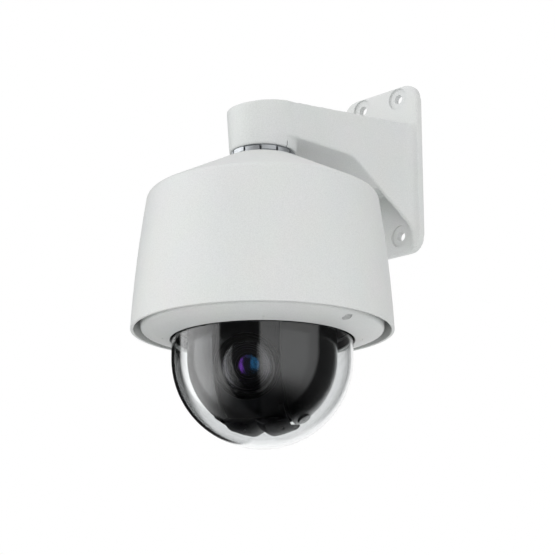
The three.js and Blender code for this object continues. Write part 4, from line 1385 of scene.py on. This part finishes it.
@dataclass
class Studio:
    """Pale floor, soft boxes either side, a white backdrop and the camera."""

    floor_height: float = -1.85
    floor_size: float = 14.0
    camera_at: tuple[float, float, float] = (0.9531, -1.1476, -0.4285)
    camera_towards: tuple[float, float, float] = (-0.67029, 0.69691, 0.25499)
    focal_length: float = 101.2
    sensor: float = 36.0

    def floor(self) -> None:
        """Lays the floor well under the camera and keeps it out of reflections."""
        clear_selection()
        bpy.ops.mesh.primitive_grid_add(
            x_subdivisions=4, y_subdivisions=4, size=self.floor_size, location=(0.0, 0.0, self.floor_height)
        )
        floor = settle(named("studio_floor"), Matrix.Identity(4))
        paper = Finish("studio_paper_pale")
        cloud = add_node(paper.tree, "ShaderNodeTexNoise", {}, {"Scale": 0.6}, {"Vector": paper.where})
        tone = paper.two_tone(cloud.outputs["Fac"], "e9eae9", "efefef")
        floor.data.materials.append(paper.close({"Roughness": 0.9}, {"Base Color": tone}))
        floor.visible_glossy = False
        floor.visible_transmission = False

    def surroundings(self) -> None:
        """Paints the studio round the object: even light for matt faces, boxes for shiny ones.

        Headings run from -1 to 1 round the vertical, 0 straight out of the wall.
        """
        world = bpy.data.worlds.new("studio_surroundings")
        bpy.context.scene.world = world
        world.use_nodes = True
        tree = world.node_tree
        tree.nodes.clear()
        where = add_node(tree, "ShaderNodeTexCoord")
        parts = add_node(tree, "ShaderNodeSeparateXYZ", links={"Vector": where.outputs["Generated"]})
        out = add_node(
            tree, "ShaderNodeMath", {"operation": "MULTIPLY"}, {1: -1.0}, {0: parts.outputs["Y"]},
        )
        heading = add_node(
            tree, "ShaderNodeMath", {"operation": "ARCTAN2"},
            links={0: parts.outputs["X"], 1: out.outputs[0]},
        )
        share = add_node(
            tree, "ShaderNodeMapRange",
            values={"From Min": -math.pi, "From Max": math.pi},
            links={"Value": heading.outputs[0]},
        )
        boxes = add_node(tree, "ShaderNodeValToRGB", links={"Fac": share.outputs["Result"]})
        self.paint_ramp(boxes, [
            (-180.0, 0.03), (-172.0, 0.05), (-160.0, 0.34), (-129.0, 0.37),
            (-127.0, 0.003), (-83.0, 0.003), (-78.0, 0.62), (-40.0, 0.62), (-12.0, 0.38),
            (-9.5, 0.012), (40.0, 0.012), (42.5, 0.28), (116.0, 0.24), (121.0, 0.02),
            (150.0, 0.015), (180.0, 0.03),
        ])
        fall = add_node(tree, "ShaderNodeMapRange", {"interpolation_type": "SMOOTHSTEP"}, {
            "From Min": -0.88, "From Max": -0.36, "To Min": 0.03, "To Max": 1.0,
        }, {"Value": parts.outputs["Z"]})
        shiny = add_node(
            tree, "ShaderNodeMath", {"operation": "MULTIPLY"},
            links={0: boxes.outputs["Color"], 1: fall.outputs["Result"]},
        )
        shiny_light = add_node(
            tree, "ShaderNodeMath", {"operation": "MULTIPLY"}, {1: 3.0}, {0: shiny.outputs[0]},
        )
        even = add_node(tree, "ShaderNodeMapRange", values={
            "From Min": -1.0, "From Max": 1.0, "To Min": 0.57, "To Max": 1.14,
        }, links={"Value": parts.outputs["Z"]})
        rays = add_node(tree, "ShaderNodeLightPath")
        matt = add_node(
            tree, "ShaderNodeMix", {"data_type": "FLOAT"},
            links={
                "Factor": rays.outputs["Is Diffuse Ray"],
                "A": shiny_light.outputs[0], "B": even.outputs["Result"],
            },
        )
        seen = add_node(
            tree, "ShaderNodeMix", {"data_type": "FLOAT"}, {"B": 1.0},
            {"Factor": rays.outputs["Is Camera Ray"], "A": matt.outputs["Result"]},
        )
        light = add_node(
            tree, "ShaderNodeBackground", links={"Strength": seen.outputs["Result"]},
        )
        light.inputs["Color"].default_value = (1.0, 1.0, 1.0, 1.0)
        add_node(tree, "ShaderNodeOutputWorld", links={"Surface": light.outputs[0]})

    def paint_ramp(self, ramp: Node, stops: list[Point]) -> None:
        """Sets a ramp's stops by heading.

        Args:
            ramp: The ramp node.
            stops: Heading in degrees and brightness of each stop.
        """
        band = ramp.color_ramp
        while len(band.elements) > 1:
            band.elements.remove(band.elements[-1])
        for i, (heading, bright) in enumerate(stops):
            position = (heading + 180.0) / 360.0
            stop = band.elements[0] if i == 0 else band.elements.new(position)
            stop.position = position
            stop.color = (bright, bright, bright, 1.0)

    def soft_box(self, name: str, at: Corner, towards: Corner, size: Point, power: float) -> None:
        """Hangs one soft box that lights matt faces.

        Args:
            name: The light's name.
            at: Where it hangs.
            towards: The point it faces.
            size: Its width and height.
            power: Its power in watts.
        """
        data = bpy.data.lights.new(name, "AREA")
        data.shape = "RECTANGLE"
        data.size, data.size_y = size
        data.energy = power
        lamp = bpy.data.objects.new(name, data)
        lamp.location = at
        lamp.rotation_euler = (Vector(towards) - Vector(at)).to_track_quat("-Z", "Y").to_euler()
        lamp.visible_camera = False
        lamp.visible_glossy = False
        lamp.visible_transmission = False
        bpy.context.scene.collection.objects.link(lamp)

    def camera(self) -> None:
        """Sets up the camera."""
        data = bpy.data.cameras.new("studio_camera")
        data.lens = self.focal_length
        data.sensor_width = self.sensor
        data.clip_start = 0.01
        data.clip_end = 100.0
        camera = bpy.data.objects.new("studio_camera", data)
        camera.location = self.camera_at
        camera.rotation_euler = Vector(self.camera_towards).to_track_quat("-Z", "Y").to_euler()
        bpy.context.scene.collection.objects.link(camera)
        bpy.context.scene.camera = camera

    def make(self) -> None:
        """Sets up the floor, light and camera."""
        bpy.context.scene.view_settings.view_transform = "Standard"
        self.floor()
        self.surroundings()
        low, high = cad_low, cad_high
        middle = (low + high) / 2
        self.soft_box("soft_box_left", (-0.9, -1.9, 0.5), middle, (1.2, 1.8), 4.4)
        self.soft_box("soft_box_right", (1.7, -1.1, -0.9), middle, (0.9, 0.9), 5.0)
        self.camera()


def main() -> None:
    """Builds the camera from the wall outwards and reports each piece."""
    logging.basicConfig(level=logging.INFO, format="%(name)s %(message)s")
    palette = Palette()
    Studio().make()
    WallBracket(palette).make()
    LockRings(palette).make()
    SunShroud(palette).make()
    Bezel(palette).make()
    Dome(palette).make()
    CheekCovers(palette).make()
    Eye(palette).make()
    InnerWorks(palette).make()
    clear_selection()


if __name__ == "__main__":
    main()
